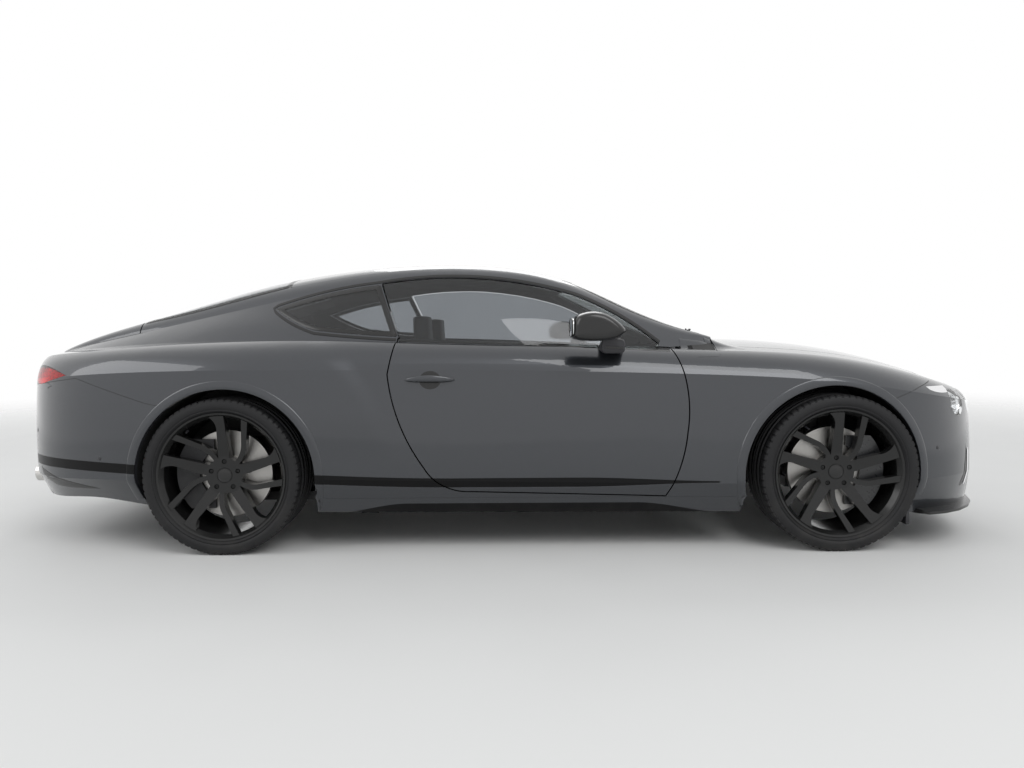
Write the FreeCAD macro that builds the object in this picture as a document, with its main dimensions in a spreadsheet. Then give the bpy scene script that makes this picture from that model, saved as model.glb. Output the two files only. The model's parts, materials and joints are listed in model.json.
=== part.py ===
import FreeCAD
import Part
import math
import os
from FreeCAD import Vector

# A two-door grand touring coupe, in millimetres.
# X runs forward, Y to the car's left and Z up, from the middle of the ground plan.

DOC = FreeCAD.newDocument("coupe")

# Sizes: name, value
SIZES = [
    ("body_length", 4895),
    ("body_width", 1966),
    ("body_height", 1397),
    ("wheelbase", 2848),
    ("axle_offset", 122.5),
    ("hub_height", 364),
    ("front_track_half", 820),
    ("rear_track_half", 810),
    ("tyre_radius", 364),
    ("front_tyre_width", 275),
    ("rear_tyre_width", 305),
    ("rim_radius", 297),
    ("hub_cap_radius", 36),
    ("spoke_pairs", 5),
    ("disc_radius", 205),
    ("disc_width", 34),
    ("arch_radius", 412),
    ("arch_height", 358),
    ("front_arch_back", 27),
    ("rear_arch_fwd", 22),
    ("liner_radius", 438),
    ("liner_wall", 5),
    ("front_arch_depth", 488),
    ("rear_arch_depth", 636),
    ("skin", 25),
    ("door_wall", 95),
    ("roof_wall", 38),
    ("boot_wall", 42),
    ("glass", 6),
    ("shut_gap", 6),
    ("seam_gap", 0.6),
    ("door_flange", 22),
    ("sill_top", 254),
    ("steering_wheel_radius", 182),
    ("cross_drop", 110),
    ("engine_length", 720),
    ("engine_width", 620),
    ("engine_height", 560),
]

BOOK = DOC.addObject("Spreadsheet::Sheet", "Sizes")
for index, (name, value) in enumerate(SIZES):
    row = index + 1
    BOOK.set("A%d" % row, name)
    BOOK.set("B%d" % row, str(value))
    BOOK.setAlias("B%d" % row, name)
DOC.recompute()


def size(name):
    return float(getattr(BOOK, name))


# The tables below hold the shape of a body of these nominal sizes.
TABLE_LENGTH = 4895.0
TABLE_WIDTH = 1966.0
TABLE_HEIGHT = 1397.0
KX = size("body_length") / TABLE_LENGTH
KY = size("body_width") / TABLE_WIDTH
KZ = size("body_height") / TABLE_HEIGHT

FRONT_AXLE = size("wheelbase") / 2 + size("axle_offset")
REAR_AXLE = size("axle_offset") - size("wheelbase") / 2
HUB = size("hub_height")
GAP = size("shut_gap")
SEAT = 0.3
SEAM = size("seam_gap")

# Sections of the lower body.
# x, z and y of the sill foot, of the lower crease, of the shoulder, of the top edge, z of the crown
LOWER = [
    (-2447.5, 440, 110, 500, 160, 640, 165, 690, 120, 700),
    (-2405, 330, 330, 420, 430, 730, 430, 800, 360, 835),
    (-2320, 245, 560, 360, 655, 800, 630, 905, 545, 945),
    (-2200, 235, 700, 350, 795, 815, 760, 925, 660, 966),
    (-1950, 250, 820, 355, 915, 835, 885, 945, 760, 990),
    (-1620, 215, 880, 355, 966, 850, 940, 968, 800, 1005),
    (-1301, 190, 890, 355, 976, 855, 957, 982, 800, 1010),
    (-850, 185, 885, 350, 958, 852, 932, 985, 815, 1010),
    (-300, 182, 880, 340, 942, 850, 904, 965, 820, 1005),
    (400, 180, 880, 328, 938, 838, 907, 948, 815, 1000),
    (1000, 178, 885, 322, 948, 820, 920, 930, 795, 985),
    (1546, 175, 890, 325, 964, 785, 940, 898, 785, 958),
    (1900, 165, 860, 330, 920, 735, 886, 835, 720, 896),
    (2150, 150, 760, 330, 808, 695, 770, 768, 610, 818),
    (2320, 140, 590, 330, 638, 665, 600, 720, 450, 750),
    (2410, 145, 380, 330, 418, 625, 400, 675, 300, 695),
    (2447.5, 180, 130, 330, 168, 560, 160, 600, 110, 612),
]

# Sections of the cabin top.
# x, y and z of the belt, y and z of the roof rail, z of the roof
UPPER = [
    (1080, 700, 930, 640, 955, 968),
    (900, 770, 900, 690, 998, 1045),
    (600, 800, 880, 645, 1095, 1185),
    (300, 812, 880, 612, 1228, 1316),
    (0, 816, 880, 600, 1288, 1379),
    (-300, 816, 880, 592, 1298, 1396.5),
    (-600, 812, 880, 580, 1280, 1388),
    (-950, 800, 880, 556, 1222, 1353),
    (-1300, 775, 890, 530, 1150, 1288),
    (-1650, 735, 905, 510, 1075, 1187),
    (-1950, 690, 905, 500, 1010, 1090),
    (-2150, 640, 890, 480, 968, 1015),
    (-2300, 560, 860, 430, 925, 955),
]

SIDE_BULGE = 0.025
SHOULDER_BULGE = 0.12
GLASS_BULGE = 0.03
RAIL_BULGE = 0.10
RAIL_WIDTH = 110.0
RAIL_RISE = 0.62
CABIN_FOOT = 600.0


def bow(start, middle, end):
    # A shallow parabolic bow through three points.
    curve = Part.BezierCurve()
    curve.setPoles([start, middle * 2 - (start + end) * 0.5, end])
    return curve.toShape()


def arc(start, end, bulge):
    span = end - start
    normal = Vector(0, span.z, -span.y)
    normal.normalize()
    return bow(start, (start + end) * 0.5 + normal * (span.Length * bulge), end)


def mirrored(point):
    return Vector(point.x, -point.y, point.z)


def lower_section(row, inset):
    x, foot_z, foot_y, crease_z, crease_y, shoulder_z, shoulder_y, edge_z, edge_y, crown_z = row
    x = x * KX * (1 - inset / (TABLE_LENGTH / 2))
    foot = Vector(x, foot_y * KY - inset, foot_z * KZ + inset)
    crease = Vector(x, crease_y * KY - inset, crease_z * KZ)
    shoulder = Vector(x, shoulder_y * KY - inset, shoulder_z * KZ)
    edge = Vector(x, edge_y * KY - inset, edge_z * KZ - inset)
    crown = Vector(x, 0, crown_z * KZ - inset)
    left = [mirrored(p) for p in (foot, crease, shoulder, edge)]
    edges = [
        Part.makeLine(left[0], foot),
        Part.makeLine(foot, crease),
        arc(crease, shoulder, SIDE_BULGE),
        arc(shoulder, edge, SHOULDER_BULGE),
        bow(edge, crown, left[3]),
        arc(left[3], left[2], SHOULDER_BULGE),
        arc(left[2], left[1], SIDE_BULGE),
        Part.makeLine(left[1], left[0]),
    ]
    return Part.Wire(edges)


def upper_section(row, inset):
    x, belt_y, belt_z, rail_y, rail_z, roof_z = row
    x = x * KX
    belt = Vector(x, belt_y * KY - inset, belt_z * KZ)
    rail = Vector(x, rail_y * KY - inset, rail_z * KZ - inset * 0.6)
    roof = Vector(x, 0, roof_z * KZ - inset)
    share = min(1.0, (roof_z - belt_z) / 300.0)
    top = Vector(x, rail.y - RAIL_WIDTH * KY * share, rail.z + (roof.z - rail.z) * RAIL_RISE)
    foot = Vector(x, belt.y, CABIN_FOOT * KZ)
    edges = [
        Part.makeLine(mirrored(foot), foot),
        Part.makeLine(foot, belt),
        arc(belt, rail, GLASS_BULGE),
        arc(rail, top, RAIL_BULGE),
        bow(top, roof, mirrored(top)),
        arc(mirrored(top), mirrored(rail), RAIL_BULGE),
        arc(mirrored(rail), mirrored(belt), GLASS_BULGE),
        Part.makeLine(mirrored(belt), mirrored(foot)),
    ]
    return Part.Wire(edges)


def lower_body(inset):
    return Part.makeLoft([lower_section(row, inset) for row in LOWER], True, False)


def upper_body(inset):
    return Part.makeLoft([upper_section(row, inset) for row in UPPER], True, False)


def box(x0, x1, y0, y1, z0, z1):
    return Part.makeBox(x1 - x0, y1 - y0, z1 - z0, Vector(x0, y0, z0))


def outline(runs, plane):
    # Each run is two points for a line or three for an arc.
    edges = []
    for run in runs:
        points = [plane(a, b) for a, b in run]
        if len(points) == 2:
            edges.append(Part.makeLine(points[0], points[1]))
        else:
            edges.append(Part.Arc(points[0], points[1], points[2]).toShape())
    return Part.Wire(edges)


def side_plane(x, z):
    return Vector(x * KX, 0, z * KZ)


def plan_plane(x, y):
    return Vector(x * KX, y * KY, 0)


def front_plane(y, z):
    return Vector(0, y * KY, z * KZ)


def grown(wire, amount):
    if abs(amount) < 1e-6:
        return wire
    return wire.makeOffset2D(amount)


def side_prism(runs, grow=0.0, y0=0.0, y1=1200.0):
    face = Part.Face(grown(outline(runs, side_plane), grow))
    face.translate(Vector(0, y0, 0))
    return face.extrude(Vector(0, y1 - y0, 0))


def plan_prism(runs, grow=0.0, z0=0.0, z1=1500.0, lean=0.0):
    face = Part.Face(grown(outline(runs, plan_plane), grow))
    face.translate(Vector(z0 * lean, 0, z0))
    return face.extrude(Vector((z1 - z0) * lean, 0, z1 - z0))


def front_prism(runs, grow=0.0, x0=0.0, x1=1000.0):
    face = Part.Face(grown(outline(runs, front_plane), grow))
    face.translate(Vector(x0, 0, 0))
    return face.extrude(Vector(x1 - x0, 0, 0))


def polygon(points):
    runs = []
    for index in range(len(points)):
        runs.append((points[index], points[(index + 1) % len(points)]))
    return runs


def other_side(shape):
    return shape.mirror(Vector(0, 0, 0), Vector(0, 1, 0))


def pieces(*shapes):
    solids = []
    for shape in shapes:
        solids.extend(shape.Solids)
    return Part.makeCompound(solids)


def main_solid(shape):
    # The largest solid of a cut, without the slivers beyond the panel.
    return max(shape.Solids, key=lambda solid: abs(solid.Volume))


def across(x, z, radius, y0, y1):
    return Part.makeCylinder(radius, y1 - y0, Vector(x, y0, z), Vector(0, 1, 0))


# Side view outlines: x and z
DOOR = [
    ((790, 941), (838, 790), (842, 560)),
    ((842, 560), (818, 430), (748, 262)),
    ((748, 262), (-156, 288)),
    ((-156, 288), (-285, 320), (-366, 402)),
    ((-366, 402), (-478, 610), (-532, 830)),
    ((-532, 830), (-502, 993)),
    ((-502, 993), (78, 974), (790, 941)),
]
DOOR_GLASS = [
    ((742, 960), (560, 1094), (352, 1196)),
    ((352, 1196), (-70, 1280), (-600, 1262)),
    ((-600, 1262), (-496, 1002)),
    ((-496, 1002), (-488, 972)),
    ((-488, 972), (78, 948), (700, 930)),
    ((700, 930), (742, 960)),
]
GLASS_SLOT = polygon([(768, 1000), (702, 924), (400, 932), (78, 943), (-495, 966), (-520, 1010), (100, 1040)])
QUARTER_GLASS = [
    ((-618, 1259), (-890, 1216), (-1136, 1146)),
    ((-1136, 1146), (-1030, 1082), (-914, 1036)),
    ((-914, 1036), (-720, 1017), (-514, 1003)),
    ((-514, 1003), (-618, 1259)),
]
FRONT_WING = polygon([
    (700, 254.6), (1519, 254.6), (1519, 655.6), (1760, 690.6), (1945, 753.6), (2040, 777.6),
    (2040, 1100), (1020, 1100), (1012, 964), (790, 944), (700, 944),
])
BODY_SIDE = polygon([
    (1019.4, 1450), (1019.4, 1100), (1011.3, 964.6), (790, 944.6), (700, 944.6), (700, 254.6), (-1279, 254.6),
    (-1279, 637.6), (-1635, 707.6), (-1990, 819.6), (-2120, 803.6), (-2480, 758.6), (-2480, 1450),
])
FRONT_BUMPER = polygon([
    (1519, 60), (1519, 655), (1760, 690), (1945, 753), (2040.6, 777), (2040.6, 1000),
    (2480, 1000), (2480, 60),
])
REAR_BUMPER = polygon([
    (-1279, 60), (-1279, 637), (-1635, 707), (-1990, 819), (-2120, 803), (-2480, 758), (-2480, 60),
])

# Plan outlines: x and y
BONNET = [
    ((2205, -430), (2275, 0), (2205, 430)),
    ((2205, 430), (2145, 515), (2040, 580)),
    ((2040, 580), (1560, 652), (1012, 630)),
    ((1012, 630), (1088, 0), (1012, -630)),
    ((1012, -630), (1560, -652), (2040, -580)),
    ((2040, -580), (2145, -515), (2205, -430)),
]
COWL = [
    ((1018, 636), (1099, 0), (1018, -636)),
    ((1018, -636), (960.6, -652)),
    ((960.6, -652), (1041.6, 0), (960.6, 652)),
    ((960.6, 652), (1018, 636)),
]
WINDSCREEN = [
    ((290, 520), (348, 0), (290, -520)),
    ((290, -520), (620, -597), (960, -655)),
    ((960, -655), (1041, 0), (960, 655)),
    ((960, 655), (620, 597), (290, 520)),
]
ROOF = [
    ((289.4, -519), (347.4, 0), (289.4, 519)),
    ((289.4, 519), (-300, 536), (-1083.4, 486)),
    ((-1083.4, 486), (-1117.4, 0), (-1083.4, -486)),
    ((-1083.4, -486), (-300, -536), (289.4, -519)),
]
REAR_WINDOW = [
    ((-1084, 485), (-1118, 0), (-1084, -485)),
    ((-1084, -485), (-1480, -478), (-1852, -455)),
    ((-1852, -455), (-1890, 0), (-1852, 455)),
    ((-1852, 455), (-1480, 478), (-1084, 485)),
]
BOOT_LID = [
    ((-1864, 505), (-1902, 0), (-1864, -505)),
    ((-1864, -505), (-2500, -470)),
    ((-2500, -470), (-2500, 470)),
    ((-2500, 470), (-1864, 505)),
]

# Front view outlines: y and z
GRILLE = [
    ((-330, 748), (0, 765), (330, 748)),
    ((330, 748), (398, 700), (405, 620)),
    ((405, 620), (385, 490), (320, 430)),
    ((320, 430), (0, 415), (-320, 430)),
    ((-320, 430), (-385, 490), (-405, 620)),
    ((-405, 620), (-398, 700), (-330, 748)),
]
LOWER_INTAKE = [
    ((-560, 330), (0, 350), (560, 330)),
    ((560, 330), (640, 250), (600, 190)),
    ((600, 190), (0, 180), (-600, 190)),
    ((-600, 190), (-640, 250), (-560, 330)),
]
DIFFUSER = [
    ((-520, 420), (0, 430), (520, 420)),
    ((520, 420), (640, 340), (660, 200)),
    ((660, 200), (-660, 200)),
    ((-660, 200), (-640, 340), (-520, 420)),
]
TAIL_LAMP = [
    ((515, 826), (680, 874), (845, 832)),
    ((845, 832), (680, 782), (515, 826)),
]

NODES = []


def node(name, shape):
    feature = DOC.addObject("Part::Feature", name)
    feature.Label = name
    feature.Shape = shape
    NODES.append(feature)
    return feature


def adopt(feature, name):
    feature.Label = name
    NODES.append(feature)
    return feature


OUTER = lower_body(0).fuse(upper_body(0))
INNER = lower_body(size("skin")).fuse(upper_body(size("skin")))
CABIN_HALF = 790.0
CABIN = lower_body(size("door_wall")).fuse(upper_body(size("roof_wall")))
CABIN = CABIN.fuse(box(-1240 * KX, 880 * KX, -CABIN_HALF * KY, CABIN_HALF * KY, 200 * KZ, 330 * KZ))
CABIN = CABIN.common(box(-1240 * KX, 880 * KX, -1000, 1000, 236 * KZ, 1500))
BOOT = lower_body(size("boot_wall")).fuse(upper_body(size("boot_wall")))
BOOT = BOOT.common(box(-2500 * KX, -1240 * KX, -1000, 1000, 0, 1500))
UNDER_GLASS = lower_body(size("glass")).fuse(upper_body(size("glass")))
SKIN = OUTER.cut(INNER)
FRONT_SKIN = lower_body(0).cut(lower_body(size("skin")))

WELL_ROOM = 9.0
FRONT_ARCH_X = FRONT_AXLE - size("front_arch_back")
REAR_ARCH_X = REAR_AXLE + size("rear_arch_fwd")
ARCH_Z = size("arch_height")
ARCH = size("arch_radius")
FRONT_LIP = across(FRONT_ARCH_X, ARCH_Z, ARCH, 300, 1200)
REAR_LIP = across(REAR_ARCH_X, ARCH_Z, ARCH, 300, 1200)
REAR_WELL = across(REAR_ARCH_X, ARCH_Z, ARCH + WELL_ROOM, size("rear_arch_depth") - WELL_ROOM, 935)

LAMPS = [
    # y, z, radius, turn outward in degrees
    (548, 694, 98, 16),
    (775, 672, 64, 42),
]


def lamp_cylinder(spec, grow):
    y, z, radius, turn = spec
    direction = Vector(math.cos(math.radians(turn)), math.sin(math.radians(turn)), 0)
    reach = 420.0
    middle = Vector(2210 * KX, y * KY, z * KZ)
    start = middle - direction * (reach * 0.35)
    return Part.makeCylinder(radius + grow, reach, start, direction)


LAMP_HOLES = [lamp_cylinder(spec, SEAM) for spec in LAMPS]
BONNET_LEAN = 0.22
BONNET_FLOOR = 560.0


def bonnet_prism(grow):
    # The lean keeps the nose edge clear of the bumper as the bonnet rises.
    wire = grown(outline(BONNET, plan_plane), grow)
    face = Part.Face(wire)
    datum = 900.0 * KZ
    face.translate(Vector((BONNET_FLOOR * KZ - datum) * BONNET_LEAN, 0, BONNET_FLOOR * KZ))
    rise = 1100.0 * KZ - BONNET_FLOOR * KZ
    return face.extrude(Vector(rise * BONNET_LEAN, 0, rise))


BOOT_FLOOR = 766.0


def boot_prism(grow):
    return plan_prism(BOOT_LID, grow, (BOOT_FLOOR - grow) * KZ, 1300 * KZ)


TOP_OPENINGS = [
    bonnet_prism(GAP),
    plan_prism(WINDSCREEN, SEAM, 900 * KZ, 1500 * KZ),
    plan_prism(COWL, SEAM, 900 * KZ, 1100 * KZ),
    plan_prism(ROOF, SEAM, 1100 * KZ, 1500 * KZ),
    plan_prism(REAR_WINDOW, SEAM, 980 * KZ, 1500 * KZ),
    boot_prism(GAP),
]

def ring_sector(centre, axis, start_direction, inner, outer, thickness, sweep):
    # A flat part of a ring, swept round the centre from the start direction.
    corner = centre + start_direction * inner
    span = start_direction * (outer - inner)
    depth = axis * thickness
    face = Part.Face(Part.makePolygon([corner, corner + span, corner + span + depth, corner + depth, corner]))
    return face.revolve(centre, axis, sweep)


# Closures and fixed panels of the top.
# The bonnet turns on two curved arms beside stays on the wings.
BONNET_HINGE = Vector(1014 * KX, 0, 1000 * KZ)
BONNET_ARM_Y = 600.0 * KY
ARM_WIDTH = 12.0
down_ahead = Vector(math.cos(math.radians(33)), 0, -math.sin(math.radians(33)))
bonnet_arm = ring_sector(
    BONNET_HINGE + Vector(0, BONNET_ARM_Y, 0), Vector(0, 1, 0), down_ahead, 118, 132, ARM_WIDTH, 67)
bonnet = FRONT_SKIN.common(bonnet_prism(0)).fuse(bonnet_arm).fuse(other_side(bonnet_arm))
node("bonnet", main_solid(bonnet))
bonnet_stay = box(995 * KX, 1040 * KX, BONNET_ARM_Y + ARM_WIDTH + SEAT, 655 * KY, 868 * KZ, 905 * KZ)
bonnet_stay = bonnet_stay.fuse(box(995 * KX, 1040 * KX, 643 * KY, 655 * KY, 868 * KZ, 930 * KZ))
cowl = SKIN.common(plan_prism(COWL, 0, 900 * KZ, 1100 * KZ)).cut(TOP_OPENINGS[0]).cut(TOP_OPENINGS[1])
node("cowl_panel", main_solid(cowl))
node("windscreen", main_solid(OUTER.common(plan_prism(WINDSCREEN, 0, 900 * KZ, 1500 * KZ)).cut(UNDER_GLASS)))
node("rear_window", main_solid(OUTER.common(plan_prism(REAR_WINDOW, 0, 980 * KZ, 1500 * KZ)).cut(UNDER_GLASS)))
node("roof_panel", main_solid(OUTER.common(plan_prism(ROOF, 0, 1100 * KZ, 1500 * KZ)).cut(CABIN)))
lid = main_solid(SKIN.common(boot_prism(0)))

# Doors: an outer skin to the shut line and an inner box held back from it.
DOOR_RING = side_prism(DOOR, 0, 300).cut(side_prism(DOOR, -size("door_flange"), 300)).common(INNER)
door = OUTER.common(side_prism(DOOR, 0, 300)).cut(CABIN).cut(DOOR_RING)
glass = upper_body(0).cut(upper_body(size("glass"))).common(side_prism(DOOR_GLASS, 0, 300))
glass = main_solid(glass)
slot = upper_body(-SEAM).cut(upper_body(size("glass") + SEAM)).common(side_prism(GLASS_SLOT, 0, 300))
door = main_solid(door.cut(slot))
DOOR_HINGE = Vector(853 * KX, 950 * KY, 0)

# A curved hinge arm on the door slides over a shelf on the wing.
ARM_Z = 640.0 * KZ
HINGE_LAP = 36.0
HINGE_SWEEP = 84.0
arm_start = Vector(-math.sin(math.radians(HINGE_LAP)), -math.cos(math.radians(HINGE_LAP)), 0)
arm = ring_sector(DOOR_HINGE + Vector(0, 0, ARM_Z), Vector(0, 0, 1), arm_start, 60, 76, 14, HINGE_SWEEP)
DOOR_LEFT = main_solid(door.fuse(arm))
node("door_left", DOOR_LEFT)
node("door_right", other_side(DOOR_LEFT))
node("door_glass_left", glass)
node("door_glass_right", other_side(glass))
quarter = main_solid(OUTER.common(side_prism(QUARTER_GLASS, 0, 300)).cut(UNDER_GLASS))
node("quarter_windows", pieces(quarter, other_side(quarter)))

# The boot lid hangs on two curved arms beside stays on the body sides.
LID_HINGE = Vector(-1861 * KX, 0, 1110 * KZ)
LID_ARM_Y = 440.0 * KY
down_back = Vector(-math.cos(math.radians(36)), 0, -math.sin(math.radians(36)))
lid_arm = ring_sector(LID_HINGE + Vector(0, LID_ARM_Y, 0), Vector(0, 1, 0), down_back, 100, 114, ARM_WIDTH, -77)
lid = lid.fuse(lid_arm).fuse(other_side(lid_arm))
node("boot_lid", main_solid(lid))
lid_stay = box(-1856 * KX, -1810 * KX, LID_ARM_Y + ARM_WIDTH + SEAT, 505 * KY, 985 * KZ, 1020 * KZ)

# Body sides with the pillars and the roof rails.
side = OUTER.common(side_prism(BODY_SIDE, 0, 0.5))
for cutter in [CABIN, BOOT] + TOP_OPENINGS:
    side = side.cut(cutter)
side = side.cut(side_prism(DOOR, GAP, 300))
side = side.cut(side_prism(DOOR_GLASS, GAP, 300))
side = side.cut(side_prism(QUARTER_GLASS, SEAM, 300))
side = side.cut(REAR_LIP).cut(REAR_WELL)
tail_lamp_hole = front_prism(TAIL_LAMP, SEAM, -2500 * KX, -1950 * KX)
side = side.cut(tail_lamp_hole)
side = main_solid(side.fuse(lid_stay))
node("body_side_left", side)
node("body_side_right", other_side(side))

# Front wings.
wing = FRONT_SKIN.common(side_prism(FRONT_WING, 0, 300))
wing = wing.cut(side_prism(DOOR, GAP, 300)).cut(TOP_OPENINGS[0]).cut(TOP_OPENINGS[1]).cut(TOP_OPENINGS[2])
wing = wing.cut(FRONT_LIP)
shelf = box(862 * KX, 925 * KX, 868 * KY, 935 * KY, ARM_Z - 20, ARM_Z - SEAT)
wing = wing.fuse(shelf).fuse(bonnet_stay)
for hole in LAMP_HOLES:
    wing = wing.cut(hole)
wing = main_solid(wing)
node("front_wing_left", wing)
node("front_wing_right", other_side(wing))

# Bumpers with their grilles, lamps and aprons.
grille_hole = front_prism(GRILLE, SEAM, 2150 * KX, 2500 * KX)
intake_hole = front_prism(LOWER_INTAKE, SEAM, 2100 * KX, 2500 * KX)
bumper = FRONT_SKIN.common(side_prism(FRONT_BUMPER, 0, -1200, 1200)).cut(TOP_OPENINGS[0])
bumper = bumper.cut(grille_hole).cut(intake_hole)
for cutter in [FRONT_LIP] + LAMP_HOLES:
    bumper = bumper.cut(cutter).cut(other_side(cutter))
node("front_bumper", main_solid(bumper))
TIP_Y = 550.0 * KY
TIP_Z = 330.0 * KZ
TIP_WIDTH = 80.0
TIP_HEIGHT = 42.0
TIP_WALL = 5.0


def oval_prism(shrink, x0, x1):
    # Two straight sides closed by half circles.
    radius = TIP_HEIGHT - shrink
    reach = TIP_WIDTH - TIP_HEIGHT
    runs = [
        ((-reach, radius), (reach, radius)),
        ((reach, radius), (reach + radius, 0), (reach, -radius)),
        ((reach, -radius), (-reach, -radius)),
        ((-reach, -radius), (-reach - radius, 0), (-reach, radius)),
    ]
    face = Part.Face(outline(runs, upright_plane))
    face.translate(Vector(x0, TIP_Y, TIP_Z))
    return face.extrude(Vector(x1 - x0, 0, 0))


def upright_plane(y, z):
    return Vector(0, y, z)


tip_hole = oval_prism(-GAP, -2500 * KX, -2100 * KX)
diffuser_hole = front_prism(DIFFUSER, SEAM, -2500 * KX, -2050 * KX)
bumper = SKIN.common(side_prism(REAR_BUMPER, 0, -1200, 1200)).cut(TOP_OPENINGS[5])
for cutter in [REAR_LIP, tail_lamp_hole, tip_hole]:
    bumper = bumper.cut(cutter).cut(other_side(cutter))
bumper = bumper.cut(diffuser_hole)
node("rear_bumper", main_solid(bumper))
lamp_skin = FRONT_SKIN.common(box(1900, 2500, 0, 1200, 0, 1500)).cut(TOP_OPENINGS[0])
lamp = [main_solid(lamp_skin.common(lamp_cylinder(spec, 0))) for spec in LAMPS]
node("headlamps", pieces(*(lamp + [other_side(piece) for piece in lamp])))
lamp = main_solid(SKIN.common(front_prism(TAIL_LAMP, 0, -2500 * KX, -1950 * KX)))
node("tail_lamps", pieces(lamp, other_side(lamp)))
node("lower_intake", main_solid(SKIN.common(front_prism(LOWER_INTAKE, 0, 2100 * KX, 2500 * KX))))
diffuser = SKIN.common(front_prism(DIFFUSER, 0, -2500 * KX, -2050 * KX))
node("rear_diffuser", main_solid(diffuser.cut(tip_hole).cut(other_side(tip_hole))))

# Grille: a frame with upright vanes behind it.
frame = FRONT_SKIN.common(front_prism(GRILLE, 0, 2150 * KX, 2500 * KX))
frame = main_solid(frame.cut(front_prism(GRILLE, -16, 2100 * KX, 2520 * KX)).cut(TOP_OPENINGS[0]))
VANES = 21
VANE_WIDTH = 7.0
VANE_DEPTH = 26.0
VANE_HEIGHTS = [430.0, 520.0, 620.0, 700.0, 742.0]
reach = 392.0 * KY


def nose_x(y, z):
    # The furthest forward point of the skin's inner face at this y and z.
    probe = Part.makeLine(Vector(1900 * KX, y, z), Vector(2500 * KX, y, z))
    return max(vertex.X for vertex in INNER.common(probe).Vertexes)


def vane_drop(y):
    # How far the outline's corners bring a vane's ends in.
    return 26.0 * (abs(y) / reach) ** 4


slats = []
for count in range(VANES):
    y = -reach + (count + 0.5) * 2 * reach / VANES
    low = VANE_HEIGHTS[0] * KZ + vane_drop(y)
    high = VANE_HEIGHTS[-1] * KZ - vane_drop(y)
    levels = [low] + [z * KZ for z in VANE_HEIGHTS[1:-1]] + [high]
    front = [Vector(nose_x(y, z) - SEAM, y - VANE_WIDTH / 2, z) for z in levels]
    back = [point - Vector(VANE_DEPTH, 0, 0) for point in reversed(front)]
    face = Part.Face(Part.makePolygon(front + back + front[:1]))
    slats.append(face.extrude(Vector(0, VANE_WIDTH, 0)))
node("grille", pieces(frame, *slats))

# Sills: boxed sections under the doors.
sill = OUTER.common(box(-862 * KX, 1104 * KX, 740 * KY, 1200, 0, size("sill_top") * KZ))
sill = main_solid(sill.cut(FRONT_LIP).cut(REAR_LIP))
JACK_PADS = [-640, 900]
PAD_LENGTH = 80.0
PAD_FLOOR = 166.0
for x in JACK_PADS:
    pad = box(x * KX - PAD_LENGTH / 2, x * KX + PAD_LENGTH / 2, 765 * KY, 825 * KY, PAD_FLOOR * KZ, 205 * KZ)
    sill = sill.fuse(pad)
node("sills", pieces(sill, other_side(sill)))


# Platform: floor, tunnel, bulkheads, boot floor and front rails.
FLOOR_BOXES = [
    # x from, x to, half width, z from, z to
    (-1250, 900, 740, 190, 232),
    (-1240, 880, 120, 232, 330),
    (884, 904, 700, 232, 872),
    (-1258, -1242, 626, 232, 880),
    (-2260, -1258, 560, 394, 432),
]
platform = None
for x0, x1, half, z0, z1 in FLOOR_BOXES:
    block = box(x0 * KX, x1 * KX, -half * KY, half * KY, z0 * KZ, z1 * KZ)
    platform = block if platform is None else platform.fuse(block)
RAILS = [
    # x from, x to, y from, y to, z from, z to
    (890, 2240, 340, 400, 300, 380),
    (2200, 2240, 0, 400, 300, 420),
]
for x0, x1, y0, y1, z0, z1 in RAILS:
    block = box(x0 * KX, x1 * KX, y0 * KY, y1 * KY, z0 * KZ, z1 * KZ)
    platform = platform.fuse(block).fuse(other_side(block))
for cutter in (REAR_WELL, other_side(REAR_WELL)):
    platform = platform.cut(cutter)
node("floor_pan", main_solid(platform))

# Arch liners: open cups round each wheel.
LINER = size("liner_wall")
LINER_INNER = lower_body(size("skin") + SEAM)


def liner(x, radius, depth):
    cup = across(x, ARCH_Z, radius, depth, 930 * KY)
    cup = cup.cut(across(x, ARCH_Z, radius - LINER, depth + LINER, 940 * KY))
    cup = cup.cut(box(x - 170, x + 170, depth - 5, depth + LINER + 5, 0, HUB + 150))
    cup = cup.cut(box(x - 500, x + 500, 0, 1000, 0, 262 * KZ))
    return main_solid(cup.common(LINER_INNER))


front_liner = liner(FRONT_ARCH_X, size("liner_radius"), size("front_arch_depth"))
rear_liner = liner(REAR_ARCH_X, ARCH + WELL_ROOM - SEAM, size("rear_arch_depth"))
node("arch_liners", pieces(front_liner, other_side(front_liner), rear_liner, other_side(rear_liner)))

# Wheels: profiles are radius and distance outward from the tyre's middle plane.
RIM = size("rim_radius")
AXLES = [
    # name, axle x, half track, tyre width
    ("front", FRONT_AXLE, size("front_track_half"), size("front_tyre_width")),
    ("rear", REAR_AXLE, size("rear_track_half"), size("rear_tyre_width")),
]


def turned(profile):
    points = [Vector(radius, out, 0) for radius, out in profile]
    face = Part.Face(Part.makePolygon(points + points[:1]))
    return face.revolve(Vector(0, 0, 0), Vector(0, 1, 0), 360)


def tyre(width):
    half = width / 2
    radius = size("tyre_radius")
    wall = [
        (RIM + SEAM, half - 14), (RIM + 28, half), (radius - 12, half - 4), (radius, half - 30),
    ]
    return turned(wall + [(r, -w) for r, w in reversed(wall)])


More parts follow.
